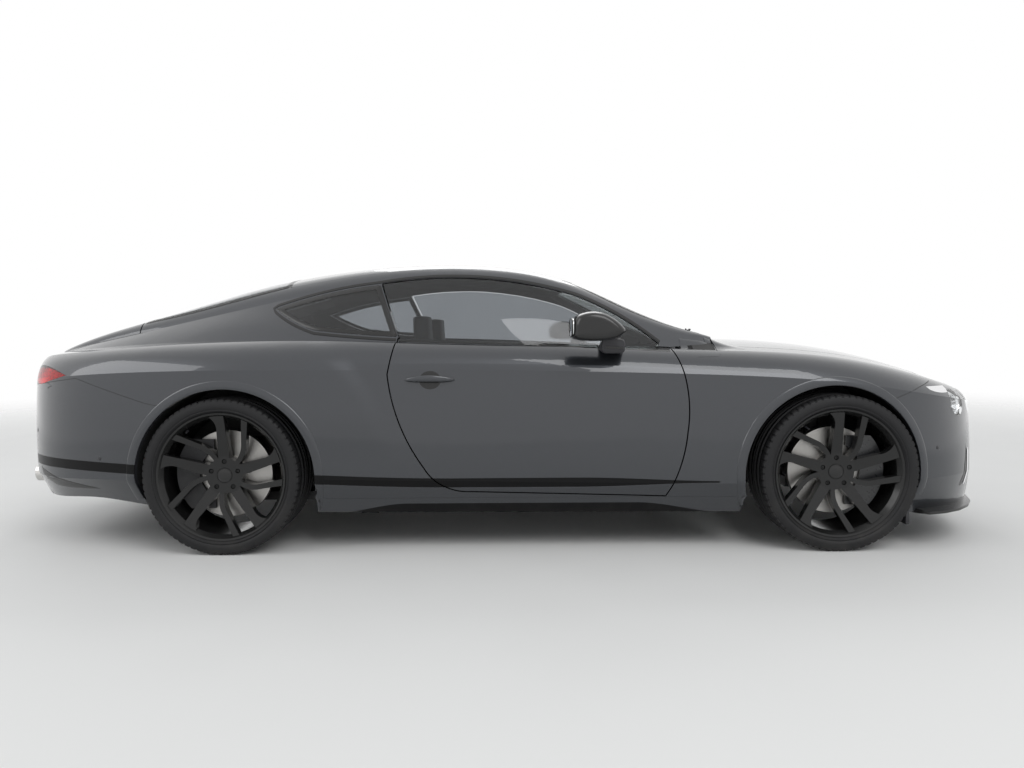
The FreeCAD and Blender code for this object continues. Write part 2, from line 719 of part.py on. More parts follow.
def wheel(width):
    half = width / 2
    lip = half - 12
    rim = turned([
        (RIM, lip), (RIM, lip - 9), (RIM - 7, lip - 12), (RIM - 7, 12 - half), (RIM, 12 - half),
        (RIM - 18, 10 - half), (RIM - 25, 26 - half), (RIM - 25, lip - 26), (RIM - 9, lip - 3),
    ])
    face_hub = lip - 54
    envelope = turned([
        (0, face_hub), (90, face_hub + 5), (RIM - 42, lip - 14), (RIM - 15, lip - 9),
        (RIM - 15, lip - 44), (110, face_hub - 38), (0, face_hub - 44),
    ])
    arms = []
    pairs = int(size("spoke_pairs"))
    for count in range(pairs):
        turn = 90 + 360.0 / pairs * count
        for runs in (WIDE_SPOKE, SLIM_SPOKE):
            face = Part.Face(outline(runs, spoke_plane))
            arm = face.extrude(Vector(0, 2 * half, 0))
            arm.translate(Vector(0, -half + 20, 0))
            arm.rotate(Vector(0, 0, 0), Vector(0, 1, 0), -turn)
            arms.append(arm)
    hub = Part.makeCylinder(HUB_RADIUS, 60, Vector(0, face_hub - 44 + SEAT, 0), Vector(0, 1, 0))
    web = arms[0].fuse(arms[1:]).common(envelope)
    web = web.fuse(hub.common(envelope)).fuse(rim)
    holes = [Part.makeCylinder(size("hub_cap_radius"), 14, Vector(0, face_hub - 5, 0), Vector(0, 1, 0))]
    for count in range(pairs):
        turn = math.radians(90 + 360.0 / pairs * count)
        centre = Vector(BOLT_CIRCLE * math.cos(turn), face_hub - 16, BOLT_CIRCLE * math.sin(turn))
        holes.append(Part.makeCylinder(BOLT_RADIUS, 40, centre, Vector(0, 1, 0)))
    return main_solid(web.cut(holes))


def spoke_plane(u, v):
    return Vector(u, 0, v)


HUB_RADIUS = 84.0
BOLT_CIRCLE = 65.0
BOLT_RADIUS = 11.0
# Spoke outlines: distance out from the hub, offset to the trailing side
WIDE_SPOKE = [
    ((40, 28), (284, 17)),
    ((284, 17), (284, -64)),
    ((284, -64), (254, -30), (205, -22)),
    ((205, -22), (40, -28)),
    ((40, -28), (40, 28)),
]
SLIM_SPOKE = [
    ((34, 46), (92, 97), (150, 112)),
    ((150, 112), (262, 127)),
    ((262, 127), (268, 98)),
    ((268, 98), (150, 88)),
    ((150, 88), (98, 74), (48, 30)),
    ((48, 30), (34, 46)),
]


def disc(width):
    radius = size("disc_radius")
    face_hub = width / 2 - 12 - 54
    back = face_hub - 44
    return turned([
        (0, back), (88, back), (88, back - 12), (radius, back - 12), (radius, back - 46),
        (80, back - 46), (80, back - 20), (0, back - 20),
    ])


KNUCKLE_REACH = 80.0


def caliper(width, ahead):
    radius = size("disc_radius")
    back = width / 2 - 12 - 54 - 44
    block = turned([
        (radius - 75, back + 6), (radius + 34, back + 6), (radius + 34, back - 66), (radius - 75, back - 66),
    ])
    slot = turned([
        (0, back - 6), (radius + 8, back - 6), (radius + 8, back - 52), (0, back - 52),
    ])
    reach = 190.0
    block = block.cut(slot)
    wedge = Part.makeBox(400, 400, 2 * reach * 0.86, Vector(60, -200, -reach * 0.86))
    block = main_solid(block.common(wedge))
    hub = Part.makeCylinder(62, 66, Vector(0, back - 120, 0), Vector(0, 1, 0))
    hub = hub.common(Part.makeCylinder(KNUCKLE_REACH, 200, Vector(0, 0, -100)))
    hub = hub.fuse(Part.makeCylinder(24, 60 - 20 - SEAT, Vector(0, back - 60, 0), Vector(0, 1, 0)))
    bracket = Part.makeBox(radius - 50, 20, 110, Vector(0, back - 78, -55))
    whole = block.fuse(bracket.fuse(hub))
    if ahead < 0:
        whole.rotate(Vector(0, 0, 0), Vector(0, 1, 0), 180)
    return main_solid(whole)


def placed_pair(x, half_track, shape, turned_round=True):
    left = shape.copy()
    left.translate(Vector(x, half_track, HUB))
    right = shape.copy()
    if turned_round:
        right.rotate(Vector(0, 0, 0), Vector(0, 0, 1), 180)
    else:
        right = other_side(right)
    right.translate(Vector(x, -half_track, HUB))
    return left, right


for name, x, half_track, width in AXLES:
    for stem, shape in (("wheel", wheel(width)), ("tyre", tyre(width)), ("brake_disc", disc(width))):
        left, right = placed_pair(x, half_track, shape)
        node("%s_%s_left" % (stem, name), left)
        node("%s_%s_right" % (stem, name), right)

carrier = caliper(size("front_tyre_width"), 1)
left, right = placed_pair(FRONT_AXLE, size("front_track_half"), carrier, False)
node("front_knuckle_left", left)
node("front_knuckle_right", right)

# Front subframe with the lower arms and struts.
TRACK = size("front_track_half")
CROSS_FLOOR = 208.0
cross = box(FRONT_AXLE - 70, FRONT_AXLE + 70, -430, 430, CROSS_FLOOR * KZ, HUB - size("cross_drop"))
for direction in (1, -1):
    y0 = min(direction * 330, direction * (TRACK - 139))
    y1 = max(direction * 330, direction * (TRACK - 139))
    cross = cross.fuse(box(FRONT_AXLE - 55, FRONT_AXLE + 55, y0, y1, CROSS_FLOOR * KZ, HUB - 120))
    foot = Vector(FRONT_AXLE, direction * (TRACK - 242), CROSS_FLOOR * KZ)
    strut = Part.makeCylinder(36, ARCH_Z + 400 - CROSS_FLOOR * KZ, foot)
    cross = cross.fuse(strut)
    post = box(FRONT_AXLE - 60, FRONT_AXLE + 60, min(direction * 345, direction * 395),
               max(direction * 345, direction * 395), CROSS_FLOOR * KZ, 300 * KZ)
    cross = cross.fuse(post)
    y0 = min(direction * 560, direction * (TRACK - 60))
    y1 = max(direction * 560, direction * (TRACK - 60))
    link = box(FRONT_AXLE - 17, FRONT_AXLE + 17, y0, y1, HUB - 30, HUB + 30)
    socket = Part.makeCylinder(KNUCKLE_REACH + 2 * SEAT, 200, Vector(FRONT_AXLE, direction * TRACK, HUB - 100))
    cross = cross.fuse(link.cut(socket))
node("front_axle", main_solid(cross))

# Rear axle: subframe, half shafts and the carriers with their calipers.
TRACK = size("rear_track_half")
beam = box(REAR_AXLE - 160, REAR_AXLE + 36, -420, 420, 270 * KZ, 394 * KZ - SEAT)
carrier = caliper(size("rear_tyre_width"), -1)
left, right = placed_pair(REAR_AXLE, TRACK, carrier, False)
shaft = Part.makeCylinder(26, 2 * TRACK - 80, Vector(REAR_AXLE, 40 - TRACK, HUB), Vector(0, 1, 0))
beam = beam.fuse(left).fuse(right).fuse(shaft)
node("rear_axle", main_solid(beam))

# Cabin furniture.
DASH = polygon([
    (560, 640), (536, 760), (590, 846), (690, 893), (876, 915), (880, 700), (700, 600),
])
dash = side_prism(DASH, 0, -710 * KY, 710 * KY)
dash = dash.fuse(box(-430 * KX, 700 * KX, -105 * KY, 105 * KY, 330 * KZ, 520 * KZ))
dash = dash.fuse(box(480 * KX, 700 * KX, -130 * KY, 130 * KY, 500 * KZ, 700 * KZ))
node("dashboard", main_solid(dash))

SEAT_Y = 375.0
wheel_radius = size("steering_wheel_radius")
RIM_PROFILE = [
    # radius and height of the rim's corners
    (wheel_radius - 30, 6), (wheel_radius - 24, 14), (wheel_radius - 6, 14), (wheel_radius, 6),
    (wheel_radius, -6), (wheel_radius - 6, -14), (wheel_radius - 24, -14), (wheel_radius - 30, -6),
]
ring = turned(RIM_PROFILE)
ring.rotate(Vector(0, 0, 0), Vector(1, 0, 0), 90)
spoke = box(40, wheel_radius - 8, -22, 22, -12, 4)
ring = ring.fuse([Part.makeCylinder(58, 34, Vector(0, 0, -34)), spoke, spoke.mirror(Vector(0, 0, 0), Vector(1, 0, 0)),
                  box(-20, 20, 8 - wheel_radius, -40, -12, 4), Part.makeCylinder(30, 100, Vector(0, 0, -125))])
ring.rotate(Vector(0, 0, 0), Vector(0, 1, 0), -68)
ring.translate(Vector(430 * KX, SEAT_Y * KY, 800 * KZ))
node("steering_wheel", main_solid(ring.cut(dash)))

FRONT_SEAT = polygon([
    (260, 330), (285, 455), (235, 500), (-120, 452), (-290, 800), (-372, 1085), (-400, 1120),
    (-478, 1108), (-470, 1040), (-420, 780), (-300, 420), (-280, 330),
])
seat = side_prism(FRONT_SEAT, 0, 122 * KY, 628 * KY)
seat = seat.cut(side_prism(polygon([(-560, 1200), (-250, 1200), (-250, 960), (-560, 930)]), 0, 0, 232 * KY))
seat = seat.cut(side_prism(polygon([(-560, 1200), (-250, 1200), (-250, 960), (-560, 930)]), 0, 518 * KY, 700 * KY))
seat = seat.fuse(box(-220 * KX, 200 * KX, 180 * KY, 570 * KY, 232 * KZ, 332 * KZ))
seat = main_solid(seat)
node("front_seats", pieces(seat, other_side(seat)))
REAR_SEAT = polygon([
    (-560, 340), (-545, 455), (-600, 492), (-880, 440), (-1010, 720), (-1100, 925), (-1232, 925),
    (-1232, 340),
])
bench = side_prism(REAR_SEAT, 0, -600 * KY, 600 * KY)
bench = bench.cut(box(-900 * KX, -500 * KX, -70 * KY, 70 * KY, 400 * KZ, 600 * KZ))
bench = bench.fuse(box(-1200 * KX, -620 * KX, 130 * KY, 560 * KY, 232 * KZ, 342 * KZ))
bench = bench.fuse(box(-1200 * KX, -620 * KX, -560 * KY, -130 * KY, 232 * KZ, 342 * KZ))
node("rear_seat", main_solid(bench))

# Door mirrors.
MIRROR = [
    ((305, 1020), (325, 1085), (408, 1111)),
    ((408, 1111), (495, 1080), (547, 1026)),
    ((547, 1026), (505, 990), (430, 979)),
    ((430, 979), (350, 982), (305, 1020)),
]
MIRROR_SECTIONS = [
    # y, share of the full outline
    (896, 0.66),
    (910, 0.90),
    (955, 0.99),
    (1040, 0.985),
    (1080, 0.87),
    (1093.5, 0.62),
]
MIRROR_CENTRE = (410, 1038)


def scaled(runs, centre, share):
    return [tuple((centre[0] + (a - centre[0]) * share, centre[1] + (b - centre[1]) * share) for a, b in run)
            for run in runs]


sections = []
for y, share in MIRROR_SECTIONS:
    section = outline(scaled(MIRROR, MIRROR_CENTRE, share), side_plane)
    section.translate(Vector(0, y * KY, 0))
    sections.append(section)
mirror = Part.makeLoft(sections, True, True)
foot = side_prism(polygon([(446, 935), (500, 921), (556, 935), (550, 985), (450, 990)]), 0, 815 * KY, 950 * KY)
mirror = main_solid(mirror.fuse(foot).cut(DOOR_LEFT))
node("mirror_left", mirror)
node("mirror_right", other_side(mirror))

# Engine as one plain block.
engine = DOC.addObject("Part::Box", "engine_block")
engine.setExpression("Length", "Sizes.engine_length")
engine.setExpression("Width", "Sizes.engine_width")
engine.setExpression("Height", "Sizes.engine_height")
engine.setExpression(".Placement.Base.x", "Sizes.wheelbase / 2 + Sizes.axle_offset - Sizes.engine_length * 0.6")
engine.setExpression(".Placement.Base.y", "-Sizes.engine_width / 2")
engine.setExpression(".Placement.Base.z", "Sizes.hub_height - Sizes.cross_drop + 0.3")
adopt(engine, "engine_block")

# Exhaust: silencers and oval tailpipes.
tip = oval_prism(0, -2352 * KX, -2190 * KX).cut(oval_prism(TIP_WALL, -2360 * KX, -2215 * KX))
tip = tip.fuse(box(-2200 * KX, -1900 * KX, 250 * KY, 620 * KY, 276 * KZ, 372 * KZ))
tip = main_solid(tip)
node("exhaust", pieces(tip, other_side(tip)))

DOC.recompute()
for feature in NODES:
    if "Invalid" in feature.State or "Error" in feature.State:
        raise ValueError(feature.Label + " did not recompute")
    if feature.Shape.isNull() or not feature.Shape.isValid():
        raise ValueError(feature.Label + " has no valid shape")

os.makedirs("parts", exist_ok=True)
for feature in NODES:
    feature.Shape.exportStep("parts/" + feature.Label + ".step")
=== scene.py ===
"""Looks for a two-door grand touring coupe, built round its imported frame."""

import cmath
import json
import logging
import math
from dataclasses import dataclass, field
from enum import Enum
from typing import Callable, Sequence

import bmesh
import bpy
from mathutils import Matrix, Vector
from mathutils.bvhtree import BVHTree

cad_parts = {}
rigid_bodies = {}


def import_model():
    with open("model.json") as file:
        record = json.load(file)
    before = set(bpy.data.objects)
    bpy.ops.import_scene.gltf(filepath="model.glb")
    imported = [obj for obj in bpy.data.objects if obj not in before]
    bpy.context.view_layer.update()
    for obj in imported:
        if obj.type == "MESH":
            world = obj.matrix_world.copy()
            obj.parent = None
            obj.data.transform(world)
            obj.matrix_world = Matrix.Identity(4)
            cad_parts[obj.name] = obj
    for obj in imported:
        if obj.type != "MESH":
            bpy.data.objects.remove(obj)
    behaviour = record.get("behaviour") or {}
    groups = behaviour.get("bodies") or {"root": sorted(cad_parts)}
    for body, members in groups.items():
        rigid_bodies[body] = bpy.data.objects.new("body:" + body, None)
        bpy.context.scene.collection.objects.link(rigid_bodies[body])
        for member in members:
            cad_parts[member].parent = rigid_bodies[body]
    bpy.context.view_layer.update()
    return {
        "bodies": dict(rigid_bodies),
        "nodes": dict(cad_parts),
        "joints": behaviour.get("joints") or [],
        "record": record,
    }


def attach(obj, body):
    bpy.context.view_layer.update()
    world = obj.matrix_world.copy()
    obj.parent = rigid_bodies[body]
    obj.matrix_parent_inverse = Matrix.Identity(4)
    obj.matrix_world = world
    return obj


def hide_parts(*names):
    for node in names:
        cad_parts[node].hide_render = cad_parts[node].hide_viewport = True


LOG = logging.getLogger("coupe")
Colour = tuple[float, float, float]
Flat = tuple[float, float]
Runs = Sequence[Sequence[Flat]]
Cast = Callable[[float, float], tuple[Vector, Vector]]
Socket = bpy.types.NodeSocket

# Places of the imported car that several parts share, in metres
FRONT_AXLE = 1.5465
REAR_AXLE = -1.3015
AXLE_MIDDLE = 0.1225
HALF_WHEELBASE = 1.424
HUB_HEIGHT = 0.364
FRONT_ARCH = 1.5195
REAR_ARCH = -1.2795
ARCH_HEIGHT = 0.358
UP = Vector((0, 0, 1))
AHEAD = Vector((1, 0, 0))


class Side(Enum):
    """The two sides of the car; the value is the sign of Y."""

    LEFT = 1
    RIGHT = -1

    @property
    def word(self) -> str:
        """The side's name as the bodies spell it."""
        return self.name.lower()


# Shader work


class NodeWork:
    """Adds and joins nodes in one shader tree."""

    def __init__(self, tree: bpy.types.NodeTree) -> None:
        """Takes the tree that the nodes go in."""
        self.tree = tree

    def add(self, kind: str, **settings: object) -> bpy.types.Node:
        """Makes a node.

        Args:
            kind: The node's type without the ShaderNode prefix.
            settings: Properties of the node.

        Returns:
            The new node.
        """
        node = self.tree.nodes.new("ShaderNode" + kind)
        for name, value in settings.items():
            setattr(node, name, value)
        return node

    def feed(self, socket: Socket, value: object) -> None:
        """Joins a socket to the value if that is a socket, and otherwise sets it.

        Args:
            socket: The input.
            value: A socket, a number or a sequence.
        """
        if isinstance(value, Socket):
            self.tree.links.new(value, socket)
        else:
            socket.default_value = value

    def math(self, operation: str, *values: object, clamp: bool = False) -> Socket:
        """A math node's result.

        Args:
            operation: The node's operation.
            values: Sockets or numbers.
            clamp: Whether the result is held from 0 to 1.

        Returns:
            The output socket.
        """
        node = self.add("Math", operation=operation, use_clamp=clamp)
        for socket, value in zip(node.inputs, values):
            self.feed(socket, value)
        return node.outputs[0]

    def step(self, value: object, low: object, high: object, a: float = 0.0, b: float = 1.0) -> Socket:
        """A smooth step.

        Args:
            value: What is mapped.
            low: Where the step starts.
            high: Where it ends.
            a: The result at low.
            b: The result at high.

        Returns:
            The mapped value's socket.
        """
        node = self.add("MapRange", interpolation_type="SMOOTHSTEP")
        for index, item in enumerate((value, low, high, a, b)):
            self.feed(node.inputs[index], item)
        return node.outputs[0]

    def noise(self, vector: object, scale: float, detail: float = 3.0) -> Socket:
        """A noise texture's value.

        Args:
            vector: Where the noise is read.
            scale: Its scale, in waves per metre.
            detail: Its octaves.

        Returns:
            The noise, from 0 to 1.
        """
        node = self.add("TexNoise")
        self.feed(node.inputs["Vector"], vector)
        node.inputs["Scale"].default_value = scale
        node.inputs["Detail"].default_value = detail
        return node.outputs["Fac"]

    def blend(self, share: object, first: object, second: object) -> Socket:
        """A mix of two colours.

        Args:
            share: The second colour's share.
            first: A colour or socket.
            second: A colour or socket.

        Returns:
            The colour's socket.
        """
        node = self.add("Mix", data_type="RGBA")
        self.feed(node.inputs[0], share)
        for socket, value in ((node.inputs[6], first), (node.inputs[7], second)):
            self.feed(socket, (*value, 1.0) if isinstance(value, tuple) and len(value) == 3 else value)
        return node.outputs[2]

    def place(self) -> Socket:
        """The point's place in the car's own frame."""
        return self.add("TexCoord").outputs["Object"]

    def parts(self, vector: object) -> tuple[Socket, ...]:
        """The X, Y and Z of a vector."""
        node = self.add("SeparateXYZ")
        self.feed(node.inputs[0], vector)
        return tuple(node.outputs)


def shared_group(name: str, inputs: Sequence[str], outputs: Sequence[str],
                 fill: Callable[[NodeWork, dict, dict], None]) -> bpy.types.NodeTree:
    """Builds a shader node group once.

    Args:
        name: The group's name.
        inputs: Its number inputs; one called Vector is a vector.
        outputs: Its number outputs.
        fill: Puts the nodes in and feeds the outputs.

    Returns:
        The group, new or found.
    """
    found = bpy.data.node_groups.get(name)
    if found:
        return found
    tree = bpy.data.node_groups.new(name, "ShaderNodeTree")
    for item in inputs:
        kind = "NodeSocketVector" if item == "Vector" else "NodeSocketFloat"
        tree.interface.new_socket(name=item, in_out="INPUT", socket_type=kind)
    for item in outputs:
        tree.interface.new_socket(name=item, in_out="OUTPUT", socket_type="NodeSocketFloat")
    work = NodeWork(tree)
    start, end = tree.nodes.new("NodeGroupInput"), tree.nodes.new("NodeGroupOutput")
    fill(work, {s.name: s for s in start.outputs}, {s.name: s for s in end.inputs})
    return tree


def grain_group() -> bpy.types.NodeTree:
    """Pebbled grain: a height and a tone from cells and noise."""
    def fill(work: NodeWork, given: dict, out: dict) -> None:
        """Adds the cells to soft noise."""
        cells = work.add("TexVoronoi", feature="F1")
        work.feed(cells.inputs["Vector"], given["Vector"])
        work.feed(cells.inputs["Scale"], given["Scale"])
        soft = work.add("TexNoise")
        work.feed(soft.inputs["Vector"], given["Vector"])
        work.feed(soft.inputs["Scale"], work.math("MULTIPLY", given["Scale"], 0.35))
        clouds = work.math("MULTIPLY", soft.outputs["Fac"], 0.5)
        height = work.math("MULTIPLY_ADD", cells.outputs["Distance"], 0.7, clouds)
        work.feed(out["Height"], work.math("MULTIPLY", height, given["Depth"]))
        work.feed(out["Tone"], soft.outputs["Fac"])
    return shared_group("pebble_grain", ("Vector", "Scale", "Depth"), ("Height", "Tone"), fill)


def dust_group() -> bpy.types.NodeTree:
    """A thin veil of dust that lies on what faces up and in low places."""
    def fill(work: NodeWork, given: dict, out: dict) -> None:
        """Masks what faces up and what lies low by a cloudy noise."""
        up = work.parts(work.add("NewGeometry").outputs["Normal"])[2]
        lying = work.step(up, 0.2, 1.0)
        low = work.step(work.parts(given["Vector"])[2], 0.45, 0.0)
        cloud = work.noise(given["Vector"], 9.0, 6.0)
        veil = work.math("ADD", work.math("MULTIPLY", lying, 0.5), low)
        veil = work.math("MULTIPLY", veil, work.step(cloud, 0.35, 0.8))
        work.feed(out["Mask"], work.math("MULTIPLY", veil, given["Amount"], clamp=True))
    return shared_group("dust_veil", ("Vector", "Amount"), ("Mask",), fill)


def rings_group() -> bpy.types.NodeTree:
    """Turned rings round a wheel's axle: a height from the distance to the axle."""
    def fill(work: NodeWork, given: dict, out: dict) -> None:
        """Makes waves of the distance to the nearer axle."""
        x, _, z = work.parts(given["Vector"])
        along = work.math("ABSOLUTE", work.math("SUBTRACT", x, AXLE_MIDDLE))
        along = work.math("SUBTRACT", along, HALF_WHEELBASE)
        radius = work.math("SQRT", work.math("ADD", work.math("POWER", along, 2.0),
                                             work.math("POWER", work.math("SUBTRACT", z, HUB_HEIGHT), 2.0)))
        wave = work.math("SINE", work.math("MULTIPLY", radius, given["Pitch"]))
        work.feed(out["Height"], work.math("MULTIPLY", wave, given["Depth"]))
        work.feed(out["Radius"], radius)
    return shared_group("turned_rings", ("Vector", "Pitch", "Depth"), ("Height", "Radius"), fill)


@dataclass(frozen=True)
class Finish:
    """A moulded or painted surface with a fine grain and a little dust."""

    name: str
    colour: Colour
    roughness: float
    metallic: float = 0.0
    coat: float = 0.0
    grain: float = 600.0
    depth: float = 0.00005
    spread: float = 0.12
    dust: float = 0.05
    specular: float = 0.5

    def build(self) -> bpy.types.Material:
        """Makes the material once.

        Returns:
            The material, new or found.
        """
        found = bpy.data.materials.get(self.name)
        if found:
            return found
        material = bpy.data.materials.new(self.name)
        material.use_nodes = True
        material.diffuse_color = (*self.colour, 1.0)
        work = NodeWork(material.node_tree)
        shader = material.node_tree.nodes["Principled BSDF"]
        shader.inputs["Metallic"].default_value = self.metallic
        shader.inputs["Roughness"].default_value = self.roughness
        shader.inputs["Coat Weight"].default_value = self.coat
        shader.inputs["Coat Roughness"].default_value = 0.02
        shader.inputs["Specular IOR Level"].default_value = self.specular
        self.dress(work, shader, work.place())
        return material

    def tones(self) -> tuple[Colour, Colour]:
        """The colour's darkest and lightest tone."""
        low = tuple(c * (1 - self.spread) for c in self.colour)
        return low, tuple(c * (1 + self.spread) for c in self.colour)

    def dusted(self, work: NodeWork, shader: bpy.types.Node, place: Socket,
               colour: object, roughness: object) -> None:
        """Feeds colour and roughness through the veil of dust.

        Args:
            work: The tree's worker.
            shader: The Principled BSDF.
            place: The point's place.
            colour: The clean colour.
            roughness: The clean roughness.
        """
        veil = work.add("Group", node_tree=dust_group())
        work.feed(veil.inputs["Vector"], place)
        veil.inputs["Amount"].default_value = self.dust
        work.feed(shader.inputs["Base Color"], work.blend(veil.outputs["Mask"], colour, (0.30, 0.28, 0.25)))
        work.feed(shader.inputs["Roughness"], work.step(veil.outputs["Mask"], 0.0, 1.0, roughness, 0.8))

    def bump(self, work: NodeWork, shader: bpy.types.Node, height: object) -> None:
        """Joins a height in metres to the shader's normal.

        Args:
            work: The tree's worker.
            shader: The Principled BSDF.
            height: The height's socket.
        """
        node = work.add("Bump")
        node.inputs["Strength"].default_value = 1.0
        node.inputs["Distance"].default_value = 1.0
        work.feed(node.inputs["Height"], height)
        work.feed(shader.inputs["Normal"], node.outputs["Normal"])

    def dress(self, work: NodeWork, shader: bpy.types.Node, place: Socket) -> None:
        """Puts the grain and the dust on.

        Args:
            work: The tree's worker.
            shader: The Principled BSDF.
            place: The point's place.
        """
        grain = work.add("Group", node_tree=grain_group())
        work.feed(grain.inputs["Vector"], place)
        grain.inputs["Scale"].default_value = self.grain
        grain.inputs["Depth"].default_value = self.depth
        colour = work.blend(grain.outputs["Tone"], *self.tones())
        rough = work.step(grain.outputs["Tone"], 0.2, 0.8, self.roughness * 0.85, self.roughness * 1.15)
        self.dusted(work, shader, place, colour, rough)
        self.bump(work, shader, grain.outputs["Height"])


@dataclass(frozen=True)
class PaintFinish(Finish):
    """Metallic body paint under clear coat, with black insets and the pressed lines of the flanks."""

    flake: float = 2600.0
    insert: bool = True
    black_below: float = 0.0
    black: Colour = (0.004, 0.004, 0.0045)
    strip_line: Sequence[float] = (-0.2, -2.3, 0.3285, 0.424)
    strip_half: Sequence[float] = (0.35, 1.0, 0.0225, 0.004)
    strip_ends: Sequence[Flat] = ((1.0, 0.985), (-2.30, -2.28))
    strip_side: Flat = (0.70, 0.72)
    strip_depth: float = 0.004
    haunch: Flat = (0.80, 0.69)
    haunch_foot: Flat = (0.42, 0.66)
    haunch_tail: Flat = (-1.9, -1.3)
    haunch_depth: float = 0.011
    line_curve: Sequence[float] = (-0.019, -0.0163, 0.8765)
    line_ends: Sequence[Flat] = ((-0.70, -0.50), (1.45, 1.15))
    line_depth: float = 0.0035
    line_reach: float = 0.035
    foot_front: Flat = (0.62, 1.05)
    foot_rear: Flat = (-0.45, -0.84)
    foot_low: float = 0.172

    def inset(self, work: NodeWork, x: object, y: object, z: object) -> Socket:
        """The mask of the narrow black strip low on the flanks.

        Args:
            work: The tree's worker.
            x: The point's X.
            y: Its Y.
            z: Its Z.

        Returns:
            The mask.
        """
        rise = work.step(x, *self.strip_line)
        half = work.step(x, *self.strip_half)
        near = work.math("ABSOLUTE", work.math("SUBTRACT", z, rise))
        strip = work.step(work.math("SUBTRACT", near, half), 0.001, -0.0015)
        out = work.math("ABSOLUTE", y)
        for value, reach in ((x, self.strip_ends[0]), (x, self.strip_ends[1]), (out, self.strip_side)):
            strip = work.math("MULTIPLY", strip, work.step(value, *reach))
        return strip

    def pressing(self, work: NodeWork, x: object, z: object) -> Socket:
        """The height of the haunch over the rear wheel and of the line along the doors.

        Args:
            work: The tree's worker.
            x: The point's X.
            z: Its Z.

        Returns:
            The height in metres.
        """
        across = work.math("POWER", work.math("SUBTRACT", x, REAR_ARCH), 2.0)
        upward = work.math("POWER", work.math("SUBTRACT", z, ARCH_HEIGHT), 2.0)
        radius = work.math("SQRT", work.math("ADD", across, upward))
        bulge = work.step(radius, *self.haunch)
        for value, reach in ((z, self.haunch_foot), (x, self.haunch_tail)):
            bulge = work.math("MULTIPLY", bulge, work.step(value, *reach))
        square, slope, height = self.line_curve
        line = work.math("MULTIPLY_ADD", work.math("MULTIPLY", x, x), square, height)
        line = work.math("MULTIPLY_ADD", x, slope, line)
        far = work.math("ABSOLUTE", work.math("SUBTRACT", z, line))
        ridge = work.math("EXPONENT", work.math("MULTIPLY", far, -1.0 / self.line_reach))
        for reach in self.line_ends:
            ridge = work.math("MULTIPLY", ridge, work.step(x, *reach))
        return work.math("ADD", work.math("MULTIPLY", bulge, self.haunch_depth),
                         work.math("MULTIPLY", ridge, self.line_depth))

    def dress(self, work: NodeWork, shader: bpy.types.Node, place: Socket) -> None:
        """Puts the flakes, the black parts and the pressed lines on.

        Args:
            work: The tree's worker.
            shader: The Principled BSDF.
            place: The point's place.
        """
        cells = work.add("TexVoronoi", feature="F1")
        work.feed(cells.inputs["Vector"], place)
        cells.inputs["Scale"].default_value = self.flake
        spark = work.parts(cells.outputs["Color"])[0]
        low = tuple(c * 0.78 for c in self.colour)
        high = tuple(c * 1.35 for c in self.colour)
        colour = work.blend(spark, low, high)
        height = work.math("MULTIPLY", work.noise(place, 55.0, 2.0), 0.00003)
        x, y, z = work.parts(place)
        if self.insert:
            dark = self.inset(work, x, y, z)
            height = work.math("ADD", height, self.pressing(work, x, z))
            height = work.math("SUBTRACT", height, work.math("MULTIPLY", dark, self.strip_depth))
        else:
            foot = work.step(x, *self.foot_front, self.black_below, self.foot_low)
            foot = work.step(x, *self.foot_rear, foot, self.foot_low)
            dark = work.step(work.math("SUBTRACT", z, foot), 0.001, -0.001)
        colour = work.blend(dark, colour, self.black)
        work.feed(shader.inputs["Metallic"], work.step(dark, 0.0, 1.0, self.metallic, 0.0))
        work.feed(shader.inputs["Coat Weight"], work.step(dark, 0.0, 1.0, self.coat, 0.05))
        work.feed(shader.inputs["Specular IOR Level"], work.step(dark, 0.0, 1.0, self.specular, 0.15))
        self.dusted(work, shader, place, colour, self.roughness)
        self.bump(work, shader, height)


@dataclass(frozen=True)
class TurnedFinish(Finish):
    """A disc or tyre with fine rings round the axle."""

    pitch: float = 4000.0

    def dress(self, work: NodeWork, shader: bpy.types.Node, place: Socket) -> None:
        """Puts the rings on.

        Args:
            work: The tree's worker.
            shader: The Principled BSDF.
            place: The point's place.
        """
        rings = work.add("Group", node_tree=rings_group())
        work.feed(rings.inputs["Vector"], place)
        rings.inputs["Pitch"].default_value = self.pitch
        rings.inputs["Depth"].default_value = self.depth
        tone = work.noise(place, 30.0, 5.0)
        self.dusted(work, shader, place, work.blend(tone, *self.tones()), self.roughness)
        self.bump(work, shader, rings.outputs["Height"])


@dataclass(frozen=True)
class WeaveFinish(Finish):
    """Carpet and roof lining: a short pile in rows."""

    def dress(self, work: NodeWork, shader: bpy.types.Node, place: Socket) -> None:
        """Puts the pile on.

        Args:
            work: The tree's worker.
            shader: The Principled BSDF.
            place: The point's place.
        """
        x, y, z = work.parts(place)
        rows = work.math("SINE", work.math("MULTIPLY", work.math("ADD", x, z), self.grain))
        cross = work.math("SINE", work.math("MULTIPLY", y, self.grain))
        pile = work.math("MULTIPLY", rows, cross)
        tone = work.math("ADD", work.math("MULTIPLY", pile, 0.3), work.noise(place, 120.0, 5.0))
        self.dusted(work, shader, place, work.blend(tone, *self.tones()), self.roughness)
        self.bump(work, shader, work.math("MULTIPLY", pile, self.depth))


